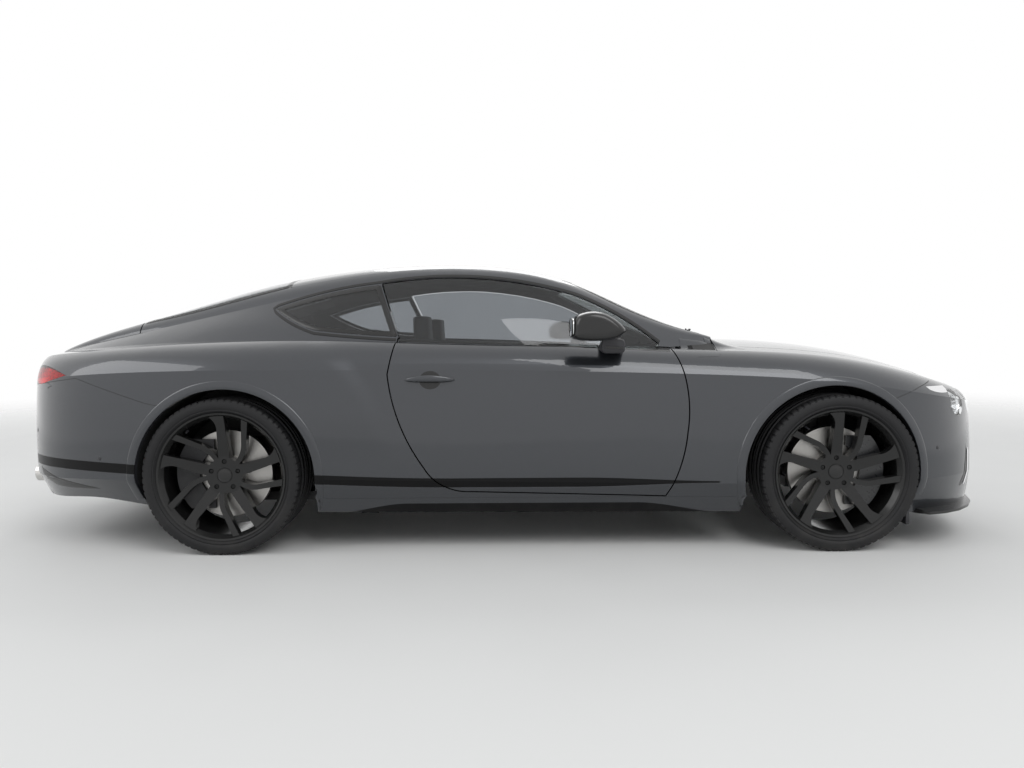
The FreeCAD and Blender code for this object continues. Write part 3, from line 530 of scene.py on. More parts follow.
@dataclass(frozen=True)
class GlassFinish(Finish):
    """Tinted glass or a coloured lens."""

    clear: float = 1.0

    def dress(self, work: NodeWork, shader: bpy.types.Node, place: Socket) -> None:
        """Makes the surface see-through, with a faint cloud in its tint.

        Args:
            work: The tree's worker.
            shader: The Principled BSDF.
            place: The point's place.
        """
        shader.inputs["Transmission Weight"].default_value = self.clear
        shader.inputs["IOR"].default_value = 1.45
        tint = work.blend(work.noise(place, 3.0), self.tones()[0], self.colour)
        work.feed(shader.inputs["Base Color"], tint)
        haze = work.step(work.noise(place, 12.0), 0.5, 0.9, self.roughness, self.roughness + 0.006)
        work.feed(shader.inputs["Roughness"], haze)


PAINT = PaintFinish("graphite_paint", (0.033, 0.036, 0.042), 0.30, metallic=0.6, coat=1.0, dust=0.015)
SILL_PAINT = PaintFinish("sill_paint", PAINT.colour, 0.30, metallic=0.6, coat=1.0, dust=0.03, insert=False,
                         black_below=0.226)
GLOSS_BLACK = Finish("gloss_black", (0.004, 0.004, 0.005), 0.10, coat=0.06, grain=60.0, depth=0.000004,
                     dust=0.008, specular=0.2)
TRIM_BLACK = Finish("trim_black", (0.022, 0.022, 0.024), 0.45, depth=0.00006, grain=1400.0)
LINER_BLACK = Finish("liner_black", (0.012, 0.012, 0.012), 0.85, depth=0.0003, grain=300.0, dust=0.12)
WHEEL_BLACK = Finish("wheel_black", (0.004, 0.004, 0.005), 0.14, coat=0.06, grain=60.0, depth=0.000004,
                     dust=0.008, specular=0.18)
TYRE_RUBBER = TurnedFinish("tyre_rubber", (0.012, 0.012, 0.013), 0.55, depth=0.00012, pitch=1500.0, dust=0.06,
                           specular=0.3)
DISC_IRON = TurnedFinish("disc_iron", (0.40, 0.39, 0.375), 0.34, metallic=1.0, depth=0.00003, dust=0.04)
CALIPER_PAINT = Finish("caliper_paint", (0.022, 0.023, 0.025), 0.3, coat=0.4, grain=180.0, depth=0.0001)
SCREEN_GLASS = GlassFinish("screen_glass", (0.55, 0.60, 0.59), 0.0)
SIDE_GLASS = GlassFinish("side_glass", (0.44, 0.46, 0.48), 0.0)
LAMP_GLASS = GlassFinish("lamp_glass", (0.95, 0.97, 0.98), 0.0)
RED_LENS = GlassFinish("red_lens", (0.75, 0.03, 0.035), 0.05)
RED_GLOW = Finish("red_reflector", (0.55, 0.03, 0.03), 0.2, metallic=0.3, coat=1.0)
BRIGHT = Finish("bright_metal", (0.82, 0.82, 0.83), 0.07, metallic=1.0, depth=0.00001, dust=0.02)
EXHAUST_STEEL = Finish("exhaust_steel", (0.66, 0.65, 0.63), 0.16, metallic=1.0, grain=220.0, depth=0.00003)
CHASSIS_BLACK = Finish("chassis_black", (0.035, 0.035, 0.037), 0.6, grain=260.0, depth=0.0002, dust=0.2)
CAST_METAL = Finish("cast_metal", (0.17, 0.17, 0.175), 0.5, metallic=0.9, grain=220.0, depth=0.0003, dust=0.1)
LEATHER = Finish("cabin_leather", (0.030, 0.027, 0.026), 0.45, grain=900.0, depth=0.00025, spread=0.2,
                 dust=0.02)
LEATHER_PALE = Finish("panel_leather", (0.062, 0.055, 0.050), 0.5, grain=900.0, depth=0.00025, spread=0.2)
THREAD = Finish("stitch_thread", (0.22, 0.21, 0.20), 0.7, grain=3000.0, depth=0.0001)
CARPET = WeaveFinish("cabin_carpet", (0.018, 0.017, 0.017), 0.95, grain=1900.0, depth=0.0006, spread=0.35)
ROOF_CLOTH = WeaveFinish("roof_cloth", (0.11, 0.105, 0.10), 0.95, grain=2600.0, depth=0.0002, spread=0.2)
MIRROR_SILVER = Finish("mirror_silver", (0.9, 0.92, 0.93), 0.02, metallic=1.0, depth=0.0, dust=0.0,
                       grain=20.0)
PLATE_WHITE = Finish("plate_white", (0.62, 0.62, 0.60), 0.35, grain=500.0, depth=0.00002)
DARK_SCREEN = Finish("dark_screen", (0.006, 0.007, 0.009), 0.08, coat=1.0, grain=30.0, depth=0.0)


# Shape work


@dataclass
class Shape:
    """Points and faces that become one piece."""

    points: list[Vector] = field(default_factory=list)
    faces: list[tuple[int, ...]] = field(default_factory=list)

    def loft(self, rows: Sequence[Sequence[Vector]], round_row: bool = False, round_way: bool = False,
             caps: bool = False) -> "Shape":
        """Skins rows of points.

        Args:
            rows: The rows, all of one length.
            round_row: Whether each row closes on itself.
            round_way: Whether the last row joins the first.
            caps: Whether the first and the last row are filled.

        Returns:
            This shape.
        """
        base, width, count = len(self.points), len(rows[0]), len(rows)
        for row in rows:
            self.points.extend(Vector(p) for p in row)
        for i in range(count if round_way else count - 1):
            for j in range(width if round_row else width - 1):
                a, b = base + i * width, base + (i + 1) % count * width
                k = (j + 1) % width
                self.faces.append((a + j, a + k, b + k, b + j))
        if caps:
            self.faces.append(tuple(base + j for j in reversed(range(width))))
            self.faces.append(tuple(base + (count - 1) * width + j for j in range(width)))
        return self

    def block(self, low: Sequence[float], high: Sequence[float], taper: float = 1.0) -> "Shape":
        """A box whose top may be narrower than its foot.

        Args:
            low: The lowest corner.
            high: The highest corner.
            taper: The top's size as a share of the foot's.

        Returns:
            This shape.
        """
        cx, cy = (low[0] + high[0]) / 2, (low[1] + high[1]) / 2
        rows = []
        for z, share in ((low[2], 1.0), (high[2], taper)):
            dx, dy = (high[0] - low[0]) / 2 * share, (high[1] - low[1]) / 2 * share
            corners = ((-1, -1), (1, -1), (1, 1), (-1, 1))
            rows.append([Vector((cx + sx * dx, cy + sy * dy, z)) for sx, sy in corners])
        return self.loft(rows, round_row=True, caps=True)

    def rod(self, path: Sequence[Vector], radius: float, sides: int = 10, flat: float = 1.0,
            up: Vector = UP, ends: float = 1.0) -> "Shape":
        """A round or oval rod along a path.

        Args:
            path: The points.
            radius: The rod's radius.
            sides: The points round it.
            flat: The height as a share of the width.
            up: The way that the height faces.
            ends: The radius of both ends as a share of the rod's.

        Returns:
            This shape.
        """
        rows = []
        for i, point in enumerate(path):
            along = (path[min(i + 1, len(path) - 1)] - path[max(i - 1, 0)]).normalized()
            across = along.cross(up).normalized()
            rise = across.cross(along)
            share = ends if i in (0, len(path) - 1) else 1.0
            rows.append([point + (across * math.cos(t) + rise * (math.sin(t) * flat)) * (radius * share)
                         for t in turns(sides)])
        return self.loft(rows, round_row=True, caps=True)

    def turned(self, profile: Sequence[Flat], origin: Vector, axis: Vector, steps: int = 48) -> "Shape":
        """A closed turned ring, or a solid one where the profile starts and ends on the axis.

        Args:
            profile: Radius and distance along the axis.
            origin: Where the axis starts.
            axis: Its direction.
            steps: The steps round.

        Returns:
            This shape.
        """
        side = axis.orthogonal().normalized()
        other = axis.cross(side)
        rows = []
        for turn in turns(steps):
            spoke = side * math.cos(turn) + other * math.sin(turn)
            rows.append([origin + spoke * max(radius, 0.0) + axis * out for radius, out in profile])
        return self.loft(rows, round_way=True)

    def piece(self, name: str, body: str, slot: str, finish: Finish, sharp: float = 40.0,
              bevel: float = 0.0, subdivide: int = 0) -> bpy.types.Object:
        """Makes the piece, dresses it and puts it on its body.

        Args:
            name: The piece's name.
            body: The CAD body that it rides on.
            slot: The record's material slot; not used.
            finish: Its finish.
            sharp: The angle from which an edge is sharp, in degrees.
            bevel: The width of the bevel on its edges, or 0.
            subdivide: The levels of subdivision.

        Returns:
            The object.
        """
        mesh = bpy.data.meshes.new(name)
        mesh.from_pydata([tuple(p) for p in self.points], [], self.faces)
        work = bpy.data.objects.new(name, mesh)
        bpy.context.scene.collection.objects.link(work)
        bpy.context.view_layer.objects.active = work
        weld = work.modifiers.new("weld", "WELD")
        weld.merge_threshold = 0.00002
        if bevel:
            round_off = work.modifiers.new("round_off", "BEVEL")
            round_off.width = bevel
            round_off.segments = 2
            round_off.limit_method = "ANGLE"
        if subdivide:
            smooth = work.modifiers.new("smooth", "SUBSURF")
            smooth.levels = smooth.render_levels = subdivide
        graph = bpy.context.evaluated_depsgraph_get()
        final = bpy.data.meshes.new_from_object(work.evaluated_get(graph))
        work.modifiers.clear()
        work.data = final
        final.name = name
        tool = bmesh.new()
        tool.from_mesh(final)
        bmesh.ops.recalc_face_normals(tool, faces=tool.faces)
        tool.to_mesh(final)
        tool.free()
        final.shade_smooth()
        final.set_sharp_from_angle(angle=math.radians(sharp))
        final.materials.clear()
        final.materials.append(finish.build())
        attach(work, body)
        LOG.info("%s: %d faces on %s", name, len(final.polygons), body)
        return work


def turns(count: int) -> list[float]:
    """The angles of evenly spaced steps round a full turn."""
    return [2 * math.pi * k / count for k in range(count)]


def scaled(points: Sequence[Flat], middle: Flat, wide: float, tall: float) -> list[Flat]:
    """Points drawn in towards a middle.

    Args:
        points: The points.
        middle: The place that stays.
        wide: The share that is left of the first distance.
        tall: The share that is left of the second.

    Returns:
        The new points.
    """
    return [(middle[0] + (a - middle[0]) * wide, middle[1] + (b - middle[1]) * tall) for a, b in points]


def through(a: Flat, b: Flat, c: Flat, count: int) -> list[Flat]:
    """Points on the circle through three points, from the first to the last.

    Args:
        a: The first point.
        b: The middle one.
        c: The last one.
        count: How many steps.

    Returns:
        The points.
    """
    p, q, r = complex(*a), complex(*b), complex(*c)
    w = (r - p) / (q - p)
    if abs(w.imag) < 1e-6:
        return straight(a, c, count)
    centre = (q - p) * (w - abs(w) ** 2) / (2j * w.imag) + p
    radius = abs(p - centre)
    start, middle, end = (cmath.phase(s - centre) for s in (p, q, r))
    sweep = (end - start) % (2 * math.pi)
    if (middle - start) % (2 * math.pi) > sweep:
        sweep -= 2 * math.pi
    made = []
    for k in range(count + 1):
        spot = centre + cmath.rect(radius, start + sweep * k / count)
        made.append((spot.real, spot.imag))
    return made


def straight(a: Flat, b: Flat, count: int) -> list[Flat]:
    """Points on a line.

    Args:
        a: The first point.
        b: The last one.
        count: How many steps.

    Returns:
        The points.
    """
    return [(a[0] + (b[0] - a[0]) * k / count, a[1] + (b[1] - a[1]) * k / count) for k in range(count + 1)]


def trace(runs: Runs, step: float = 0.02) -> list[Flat]:
    """Points along joined lines and arcs, about a step apart.

    Args:
        runs: Two points for a line, three for an arc.
        step: The distance between points.

    Returns:
        The points.
    """
    made: list[Flat] = []
    for run in runs:
        length = math.dist(run[0], run[-1])
        count = max(2, round(length / step))
        points = straight(run[0], run[1], count) if len(run) == 2 else through(*run, count)
        made.extend(points if not made else points[1:])
    return made


class Skin:
    """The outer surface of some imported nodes, found by rays."""

    def __init__(self, nodes: dict, names: Sequence[str]) -> None:
        """Builds the search tree.

        Args:
            nodes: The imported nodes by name.
            names: Those to look at.
        """
        points, faces = [], []
        for name in names:
            mesh = nodes[name].data
            base = len(points)
            points.extend(v.co.copy() for v in mesh.vertices)
            faces.extend(tuple(base + i for i in p.vertices) for p in mesh.polygons)
        self.tree = BVHTree.FromPolygons(points, faces)

    def hit(self, start: Vector, way: Vector) -> tuple[Vector, Vector]:
        """Where a ray meets the surface, or the nearest place where it misses.

        Args:
            start: The ray's start.
            way: Its direction.

        Returns:
            The point, and the surface's direction against the ray.
        """
        spot, normal, _, _ = self.tree.ray_cast(start, way)
        if spot is None:
            spot, normal, _, _ = self.tree.find_nearest(start + way * 0.4)
        return spot, (normal if normal.dot(way) < 0 else -normal)

    def side(self, side: Side) -> Cast:
        """A caster from one side, which takes X and Z."""
        sign = side.value
        return lambda x, z: self.hit(Vector((x, 1.3 * sign, z)), Vector((0, -sign, 0)))

    def top(self) -> Cast:
        """A caster from above, which takes X and Y."""
        return lambda x, y: self.hit(Vector((x, y, 1.6)), Vector((0, 0, -1)))

    def end(self, sign: int) -> Cast:
        """A caster from ahead or behind, which takes Y and Z."""
        return lambda y, z: self.hit(Vector((2.9 * sign, y, z)), Vector((-sign, 0, 0)))


def ribbon(path: Sequence[Flat], cast: Cast,
           across: Sequence[float], rise: Sequence[float], closed: bool = False) -> Shape:
    """A strip laid on the skin along a path.

    Args:
        path: The path in the caster's plane.
        cast: The caster.
        across: Offsets to the path's left, in metres.
        rise: Heights above the skin, one for each offset.
        closed: Whether the path closes on itself.

    Returns:
        The strip.
    """
    rows = []
    for i, (a, b) in enumerate(path):
        before = path[i - 1] if closed or i else path[0]
        after = path[(i + 1) % len(path)] if closed or i < len(path) - 1 else path[-1]
        da, db = after[0] - before[0], after[1] - before[1]
        size = math.hypot(da, db)
        row = []
        for offset, height in zip(across, rise):
            spot, normal = cast(a - db / size * offset, b + da / size * offset)
            row.append(spot + normal * height)
        rows.append(row)
    return Shape().loft(rows, round_way=closed)


def patch(outline: Sequence[Flat], cast: Cast, rise: float,
          rings: int = 4, edge: float = 0.0) -> Shape:
    """A sheet laid on the skin inside an outline.

    Args:
        outline: The closed outline in the caster's plane.
        cast: The caster.
        rise: Its height above the skin.
        rings: The rings from the edge to the middle.
        edge: The height of its edge above the skin.

    Returns:
        The sheet.
    """
    ca = sum(p[0] for p in outline) / len(outline)
    cb = sum(p[1] for p in outline) / len(outline)
    rows = []
    for ring in range(rings + 1):
        share = 1 - ring / rings if ring < rings else 0.02
        row = []
        for a, b in outline:
            spot, normal = cast(ca + (a - ca) * share, cb + (b - cb) * share)
            row.append(spot + normal * (rise if ring else edge))
        rows.append(row)
    return Shape().loft(rows, round_row=True)


def smooth_loop(points: Sequence[Flat], steps: int) -> list[Flat]:
    """A closed smooth curve through the points.

    Args:
        points: The points it passes.
        steps: The steps from one to the next.

    Returns:
        The curve's points.
    """
    made = []
    count = len(points)
    for i in range(count):
        p, q, r, s = (Vector(points[(i + k) % count]) for k in (-1, 0, 1, 2))
        for k in range(steps):
            t = k / steps
            bend = (2 * p - 5 * q + 4 * r - s) * t * t
            spot = 0.5 * (2 * q + (r - p) * t + bend + (3 * q - p - 3 * r + s) * t ** 3)
            made.append((spot.x, spot.y))
    return made


def oval(centre: Flat, half: Flat, power: float = 2.0, count: int = 40) -> list[Flat]:
    """A superellipse's points.

    Args:
        centre: The middle.
        half: The half sizes.
        power: 2 for an ellipse, more for a squarer form.
        count: The points round it.

    Returns:
        The points.
    """
    made = []
    for turn in turns(count):
        c, s = math.cos(turn), math.sin(turn)
        made.append((centre[0] + half[0] * math.copysign(abs(c) ** (2 / power), c),
                     centre[1] + half[1] * math.copysign(abs(s) ** (2 / power), s)))
    return made


# The car's own sub-assemblies


@dataclass
class Studio:
    """Floor, light and camera."""

    lens: float = 27.096
    pitch: float = 0.0639169
    roll: float = -0.00609963
    yaw: float = 0.00099656
    stand: Sequence[float] = (0.04288, -4.45284, 1.00971)
    floor_radius: float = 14.0
    floor_colour: Colour = (0.78, 0.78, 0.77)
    daylight: float = 0.55

    def build(self) -> None:
        """Makes the whole studio."""
        self.floor()
        self.world()
        self.lamp("key_light", (3.0, -6.0, 6.5), (0.2, 0.0, 0.5), 5.0, 260.0)
        self.lamp("fill_light", (-6.0, -3.0, 4.5), (-0.4, 0.0, 0.6), 4.0, 110.0)
        self.lamp("back_light", (0.0, 6.5, 6.0), (0.0, 0.0, 0.6), 5.0, 180.0)
        self.camera()

    def floor(self) -> None:
        """A pale round floor that fades into the backdrop."""
        mesh = bpy.data.meshes.new("studio_floor")
        ring = [(self.floor_radius * math.cos(t), self.floor_radius * math.sin(t), 0.0) for t in turns(96)]
        mesh.from_pydata(ring, [], [tuple(range(len(ring)))])
        floor = bpy.data.objects.new("studio_floor", mesh)
        bpy.context.scene.collection.objects.link(floor)
        material = bpy.data.materials.new("studio_floor")
        material.use_nodes = True
        work = NodeWork(material.node_tree)
        shader = material.node_tree.nodes["Principled BSDF"]
        place = work.place()
        shader.inputs["Base Color"].default_value = (*self.floor_colour, 1.0)
        work.feed(shader.inputs["Roughness"], work.step(work.noise(place, 3.0), 0.0, 1.0, 0.55, 0.75))
        x, y, _ = work.parts(place)
        distance = work.math("SQRT", work.math("ADD", work.math("POWER", x, 2.0), work.math("POWER", y, 2.0)))
        fade = work.step(distance, 4.0, self.floor_radius * 0.85)
        clear = work.add("BsdfTransparent")
        mix = work.add("MixShader")
        work.feed(mix.inputs[0], fade)
        work.feed(mix.inputs[1], shader.outputs["BSDF"])
        work.feed(mix.inputs[2], clear.outputs[0])
        work.feed(material.node_tree.nodes["Material Output"].inputs["Surface"], mix.outputs[0])
        mesh.materials.append(material)

    def world(self) -> None:
        """A soft sky; the camera, mirrors and glass see it white."""
        world = bpy.data.worlds.new("studio_light")
        world.use_nodes = True
        bpy.context.scene.world = world
        work = NodeWork(world.node_tree)
        paths = work.add("LightPath")
        seen = work.math("MAXIMUM", paths.outputs["Is Camera Ray"], paths.outputs["Is Glossy Ray"])
        seen = work.math("MAXIMUM", seen, paths.outputs["Is Transmission Ray"])
        light = world.node_tree.nodes["Background"]
        light.inputs["Color"].default_value = (0.96, 0.98, 1.0, 1.0)
        light.inputs["Strength"].default_value = self.daylight
        white = work.add("Background")
        white.inputs["Color"].default_value = (1.0, 1.0, 1.0, 1.0)
        mix = work.add("MixShader")
        work.feed(mix.inputs[0], seen)
        work.feed(mix.inputs[1], light.outputs[0])
        work.feed(mix.inputs[2], white.outputs[0])
        work.feed(world.node_tree.nodes["World Output"].inputs["Surface"], mix.outputs[0])

    def lamp(self, name: str, place: Sequence[float], aim: Sequence[float], size: float,
             power: float) -> None:
        """A soft square lamp.

        Args:
            name: Its name.
            place: Where it stands.
            aim: Where it points.
            size: Its side.
            power: Its power.
        """
        light = bpy.data.lights.new(name, "AREA")
        light.size = size
        light.energy = power
        lamp = bpy.data.objects.new(name, light)
        bpy.context.scene.collection.objects.link(lamp)
        lamp.location = place
        lamp.rotation_euler = (Vector(aim) - Vector(place)).to_track_quat("-Z", "Y").to_euler()

    def camera(self) -> None:
        """The camera, where the photograph was taken from."""
        along = Vector((math.cos(self.yaw), math.sin(self.yaw), 0))
        away = Vector((-math.sin(self.yaw), math.cos(self.yaw), 0))
        forward = away * math.cos(self.pitch) - UP * math.sin(self.pitch)
        rise = away * math.sin(self.pitch) + UP * math.cos(self.pitch)
        right = along * math.cos(self.roll) + rise * math.sin(self.roll)
        top = rise * math.cos(self.roll) - along * math.sin(self.roll)
        data = bpy.data.cameras.new("camera")
        data.lens = self.lens
        data.sensor_width = 36.0
        data.clip_end = 200.0
        camera = bpy.data.objects.new("camera", data)
        bpy.context.scene.collection.objects.link(camera)
        turn = Matrix((right, top, -forward)).transposed().to_4x4()
        camera.matrix_world = Matrix.Translation(Vector(self.stand)) @ turn
        bpy.context.scene.camera = camera


@dataclass
class Frame:
    """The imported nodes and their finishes."""

    nodes: dict
    wheel_edge: float = 0.0022
    cabin_middle: Sequence[float] = (0.0, 0.0, 0.55)
    carpet_top: float = 0.36
    carpet_half: float = 0.75

    def dress(self) -> None:
        """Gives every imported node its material, and what faces inward its lining."""
        finishes = {
            "bonnet": (PAINT, TRIM_BLACK),
            "boot_lid": (PAINT, TRIM_BLACK),
            "roof_panel": (PAINT, ROOF_CLOTH),
            "front_bumper": (PAINT, TRIM_BLACK),
            "rear_bumper": (PAINT, TRIM_BLACK),
            "sills": (SILL_PAINT, None),
            "windscreen": (SCREEN_GLASS, None),
            "rear_window": (SIDE_GLASS, None),
            "quarter_windows": (SIDE_GLASS, None),
            "headlamps": (LAMP_GLASS, None),
            "tail_lamps": (RED_LENS, None),
            "grille": (GLOSS_BLACK, None),
            "lower_intake": (LINER_BLACK, None),
            "rear_diffuser": (TRIM_BLACK, None),
            "cowl_panel": (TRIM_BLACK, None),
            "arch_liners": (LINER_BLACK, None),
            "floor_pan": (CHASSIS_BLACK, CARPET),
            "front_axle": (CHASSIS_BLACK, None),
            "rear_axle": (CHASSIS_BLACK, None),
            "exhaust": (EXHAUST_STEEL, None),
            "dashboard": (LEATHER, None),
            "steering_wheel": (LEATHER, None),
            "front_seats": (LEATHER, None),
            "rear_seat": (LEATHER, None),
            "engine_block": (CAST_METAL, None),
        }
        for side in Side:
            finishes["body_side_" + side.word] = (PAINT, ROOF_CLOTH)
            finishes["front_wing_" + side.word] = (PAINT, TRIM_BLACK)
            finishes["door_" + side.word] = (PAINT, LEATHER_PALE)
            finishes["door_glass_" + side.word] = (SIDE_GLASS, None)
            finishes["mirror_" + side.word] = (GLOSS_BLACK, None)
            finishes["front_knuckle_" + side.word] = (CALIPER_PAINT, None)
            for end in ("front", "rear"):
                finishes["wheel_%s_%s" % (end, side.word)] = (WHEEL_BLACK, None)
                finishes["tyre_%s_%s" % (end, side.word)] = (TYRE_RUBBER, None)
                finishes["brake_disc_%s_%s" % (end, side.word)] = (DISC_IRON, None)
        for name, node in self.nodes.items():
            outer, inner = finishes[name]
            materials = node.data.materials
            materials.clear()
            materials.append(outer.build())
            if inner:
                materials.append(inner.build())
                self.line(node)
            if name.startswith("wheel_"):
                edge = node.modifiers.new("edges", "BEVEL")
                edge.width, edge.segments = self.wheel_edge, 2
                edge.limit_method, edge.angle_limit = "ANGLE", math.radians(40)
            LOG.info("%s dressed in %s", name, materials[0].name)

    def line(self, node: bpy.types.Object) -> None:
        """Gives the lining to the faces that look into the car.

        Args:
            node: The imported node, which has two materials.
        """
        centre = Vector(self.cabin_middle)
        floor = node.name.startswith("floor")
        for face in node.data.polygons:
            spot, normal = face.center, face.normal
            if floor:
                inside = normal.z > 0.5 and spot.z < self.carpet_top and abs(spot.y) < self.carpet_half
            else:
                inward = centre - spot
                inward.x *= 0.4
                inside = normal.dot(inward.normalized()) > 0.35 and normal.dot(inward) > 0.1
            face.material_index = 1 if inside else 0


@dataclass
class Wheels:
    """Tyres with their tread, and the small parts of the wheels."""

    radius: float = HUB_HEIGHT
    rim: float = 0.2976
    groove: float = 0.0075
    shoulder_notch: float = 0.0055
    edge_notch: float = 0.002
    ribs: Sequence[float] = (0.86, 0.80, 0.74, 0.73, 0.47, 0.46, 0.40, 0.39, 0.13, 0.12, 0.06, 0.05)
    pitches: int = 72
    steps_a_pitch: int = 5
    bolt_circle: float = 0.065
    bolt_radius: float = 0.0095
    cap_radius: float = 0.0345
    face_depth: float = 0.066
    valve_radius: float = 0.262
    valve_angle: float = 54.0
    ends: Sequence[tuple[str, float, float, float]] = (
        ("front", FRONT_AXLE, 0.820, 0.275),
        ("rear", REAR_AXLE, 0.810, 0.305),
    )

    def build(self) -> None:
        """Makes the tyres, bolts, caps and valves of all four wheels."""
        for end, x, track, width in self.ends:
            for side in Side:
                body = "wheel_%s_%s" % (end, side.word)
                self.tyre(end, side, x, track, width, body)
                self.fittings(end, side, x, track, width, body)

    def spot(self, side: Side, x: float, track: float, u: float, out: float, v: float) -> Vector:
        """A point of a wheel in the car's frame.

        Args:
            side: The wheel's side.
            x: The axle's place.
            track: Half the track.
            u: Distance ahead, on the left wheel.
            out: Distance outward from the wheel's middle.
            v: Distance up.

        Returns:
            The point.
        """
        return Vector((x + side.value * u, side.value * (track + out), HUB_HEIGHT + v))

    def tyre(self, end: str, side: Side, x: float, track: float, width: float, body: str) -> None:
        """A tyre with ribs, grooves and shoulder blocks.

        Args:
            end: Front or rear.
            side: Left or right.
            x: The axle's place.
            track: Half the track.
            width: The tyre's width.
            body: The body that it rides on.
        """
        half, top = width / 2, self.radius
        wall = [
            (self.rim, half - 0.016), (self.rim + 0.006, half - 0.008),
            (self.rim + 0.010, half - 0.0035), (self.rim + 0.013, half - 0.0035),
            (self.rim + 0.016, half - 0.006), (self.rim + 0.024, half - 0.0015),
            (self.rim + 0.032, half - 0.0005), (top - 0.022, half - 0.002), (top - 0.016, half - 0.004),
            (top - 0.013, half - 0.0045), (top - 0.010, half - 0.007),
        ]
        tread = []
        for k, part in enumerate(self.ribs):
            cut = self.groove if k > 2 and k % 4 in (3, 0) else 0.0
            tread.append((top - 0.0006 * (1 + 3 * part ** 4) - cut, half * part))
        flat = [(top - 0.006, half * 0.95), (top - 0.0028, half * 0.91)]
        outer = wall + flat + tread
        profile = outer + [(r, -w) for r, w in reversed(outer)]
        rows = []
        for k, turn in enumerate(turns(self.pitches * self.steps_a_pitch)):
            phase = k % self.steps_a_pitch
            row = []
            for radius, out in profile:
                reach = abs(out) / half
                lean = radius
                if reach > 0.76 and radius > top - 0.0125 and phase == 0:
                    lean = radius - self.shoulder_notch
                elif radius > top - 0.0135 and 0.96 < reach and phase == 0:
                    lean = radius - self.edge_notch
                row.append(self.spot(side, x, track, lean * math.cos(turn), out, lean * math.sin(turn)))
            rows.append(row)
        made = Shape().loft(rows, round_way=True)
        tyre = made.piece("tyre_tread_%s_%s" % (end, side.word), body, "tyre", TYRE_RUBBER, sharp=30)
        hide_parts("tyre_%s_%s" % (end, side.word))

    def fittings(self, end: str, side: Side, x: float, track: float, width: float, body: str) -> None:
        """The bolts, the blank cap and the valve.

        Args:
            end: Front or rear.
            side: Left or right.
            x: The axle's place.
            track: Half the track.
            width: The tyre's width.
            body: The body that they ride on.
        """
        face = width / 2 - self.face_depth
        axis = Vector((0, side.value, 0))
        bolts = Shape()
        for k in range(5):
            turn = math.radians(90 + 72 * k)
            start = self.spot(side, x, track, self.bolt_circle * math.cos(turn), face - 0.020,
                              self.bolt_circle * math.sin(turn))
            r = self.bolt_radius
            bolts.turned([(0, 0), (r, 0), (r, 0.008), (r * 0.86, 0.008), (r * 0.86, 0.018), (r * 0.74, 0.021),
                          (r * 0.4, 0.021), (r * 0.4, 0.016), (0, 0.016)], start, axis, 6)
        tag = "%s_%s" % (end, side.word)
        bolts.piece("wheel_bolts_" + tag, body, "wheel_black", WHEEL_BLACK, sharp=25)
        r = self.cap_radius
        start = self.spot(side, x, track, 0.0, face - 0.005, 0.0)
        cap = Shape().turned([(0, 0), (r, 0), (r, 0.006), (r - 0.001, 0.0075), (r - 0.003, 0.008),
                              (r - 0.0045, 0.0065), (r - 0.006, 0.0068), (r * 0.5, 0.0086), (0, 0.0092)],
                             start, axis, 40)
        cap.piece("wheel_cap_" + tag, body, "gloss_black", GLOSS_BLACK)
        turn = math.radians(self.valve_angle)
        start = self.spot(side, x, track, self.valve_radius * math.cos(turn), width / 2 - 0.040,
                          self.valve_radius * math.sin(turn))
        lean = Vector((-side.value * 0.25 * math.cos(turn), side.value, -0.25 * math.sin(turn))).normalized()
        valve = Shape().turned([(0, 0), (0.0055, 0), (0.0045, 0.006), (0.0038, 0.008), (0.0038, 0.019),
                                (0.0034, 0.021), (0.0034, 0.029), (0.0028, 0.031), (0, 0.031)],
                               start, lean, 14)
        valve.piece("tyre_valve_" + tag, body, "trim_black", TRIM_BLACK)


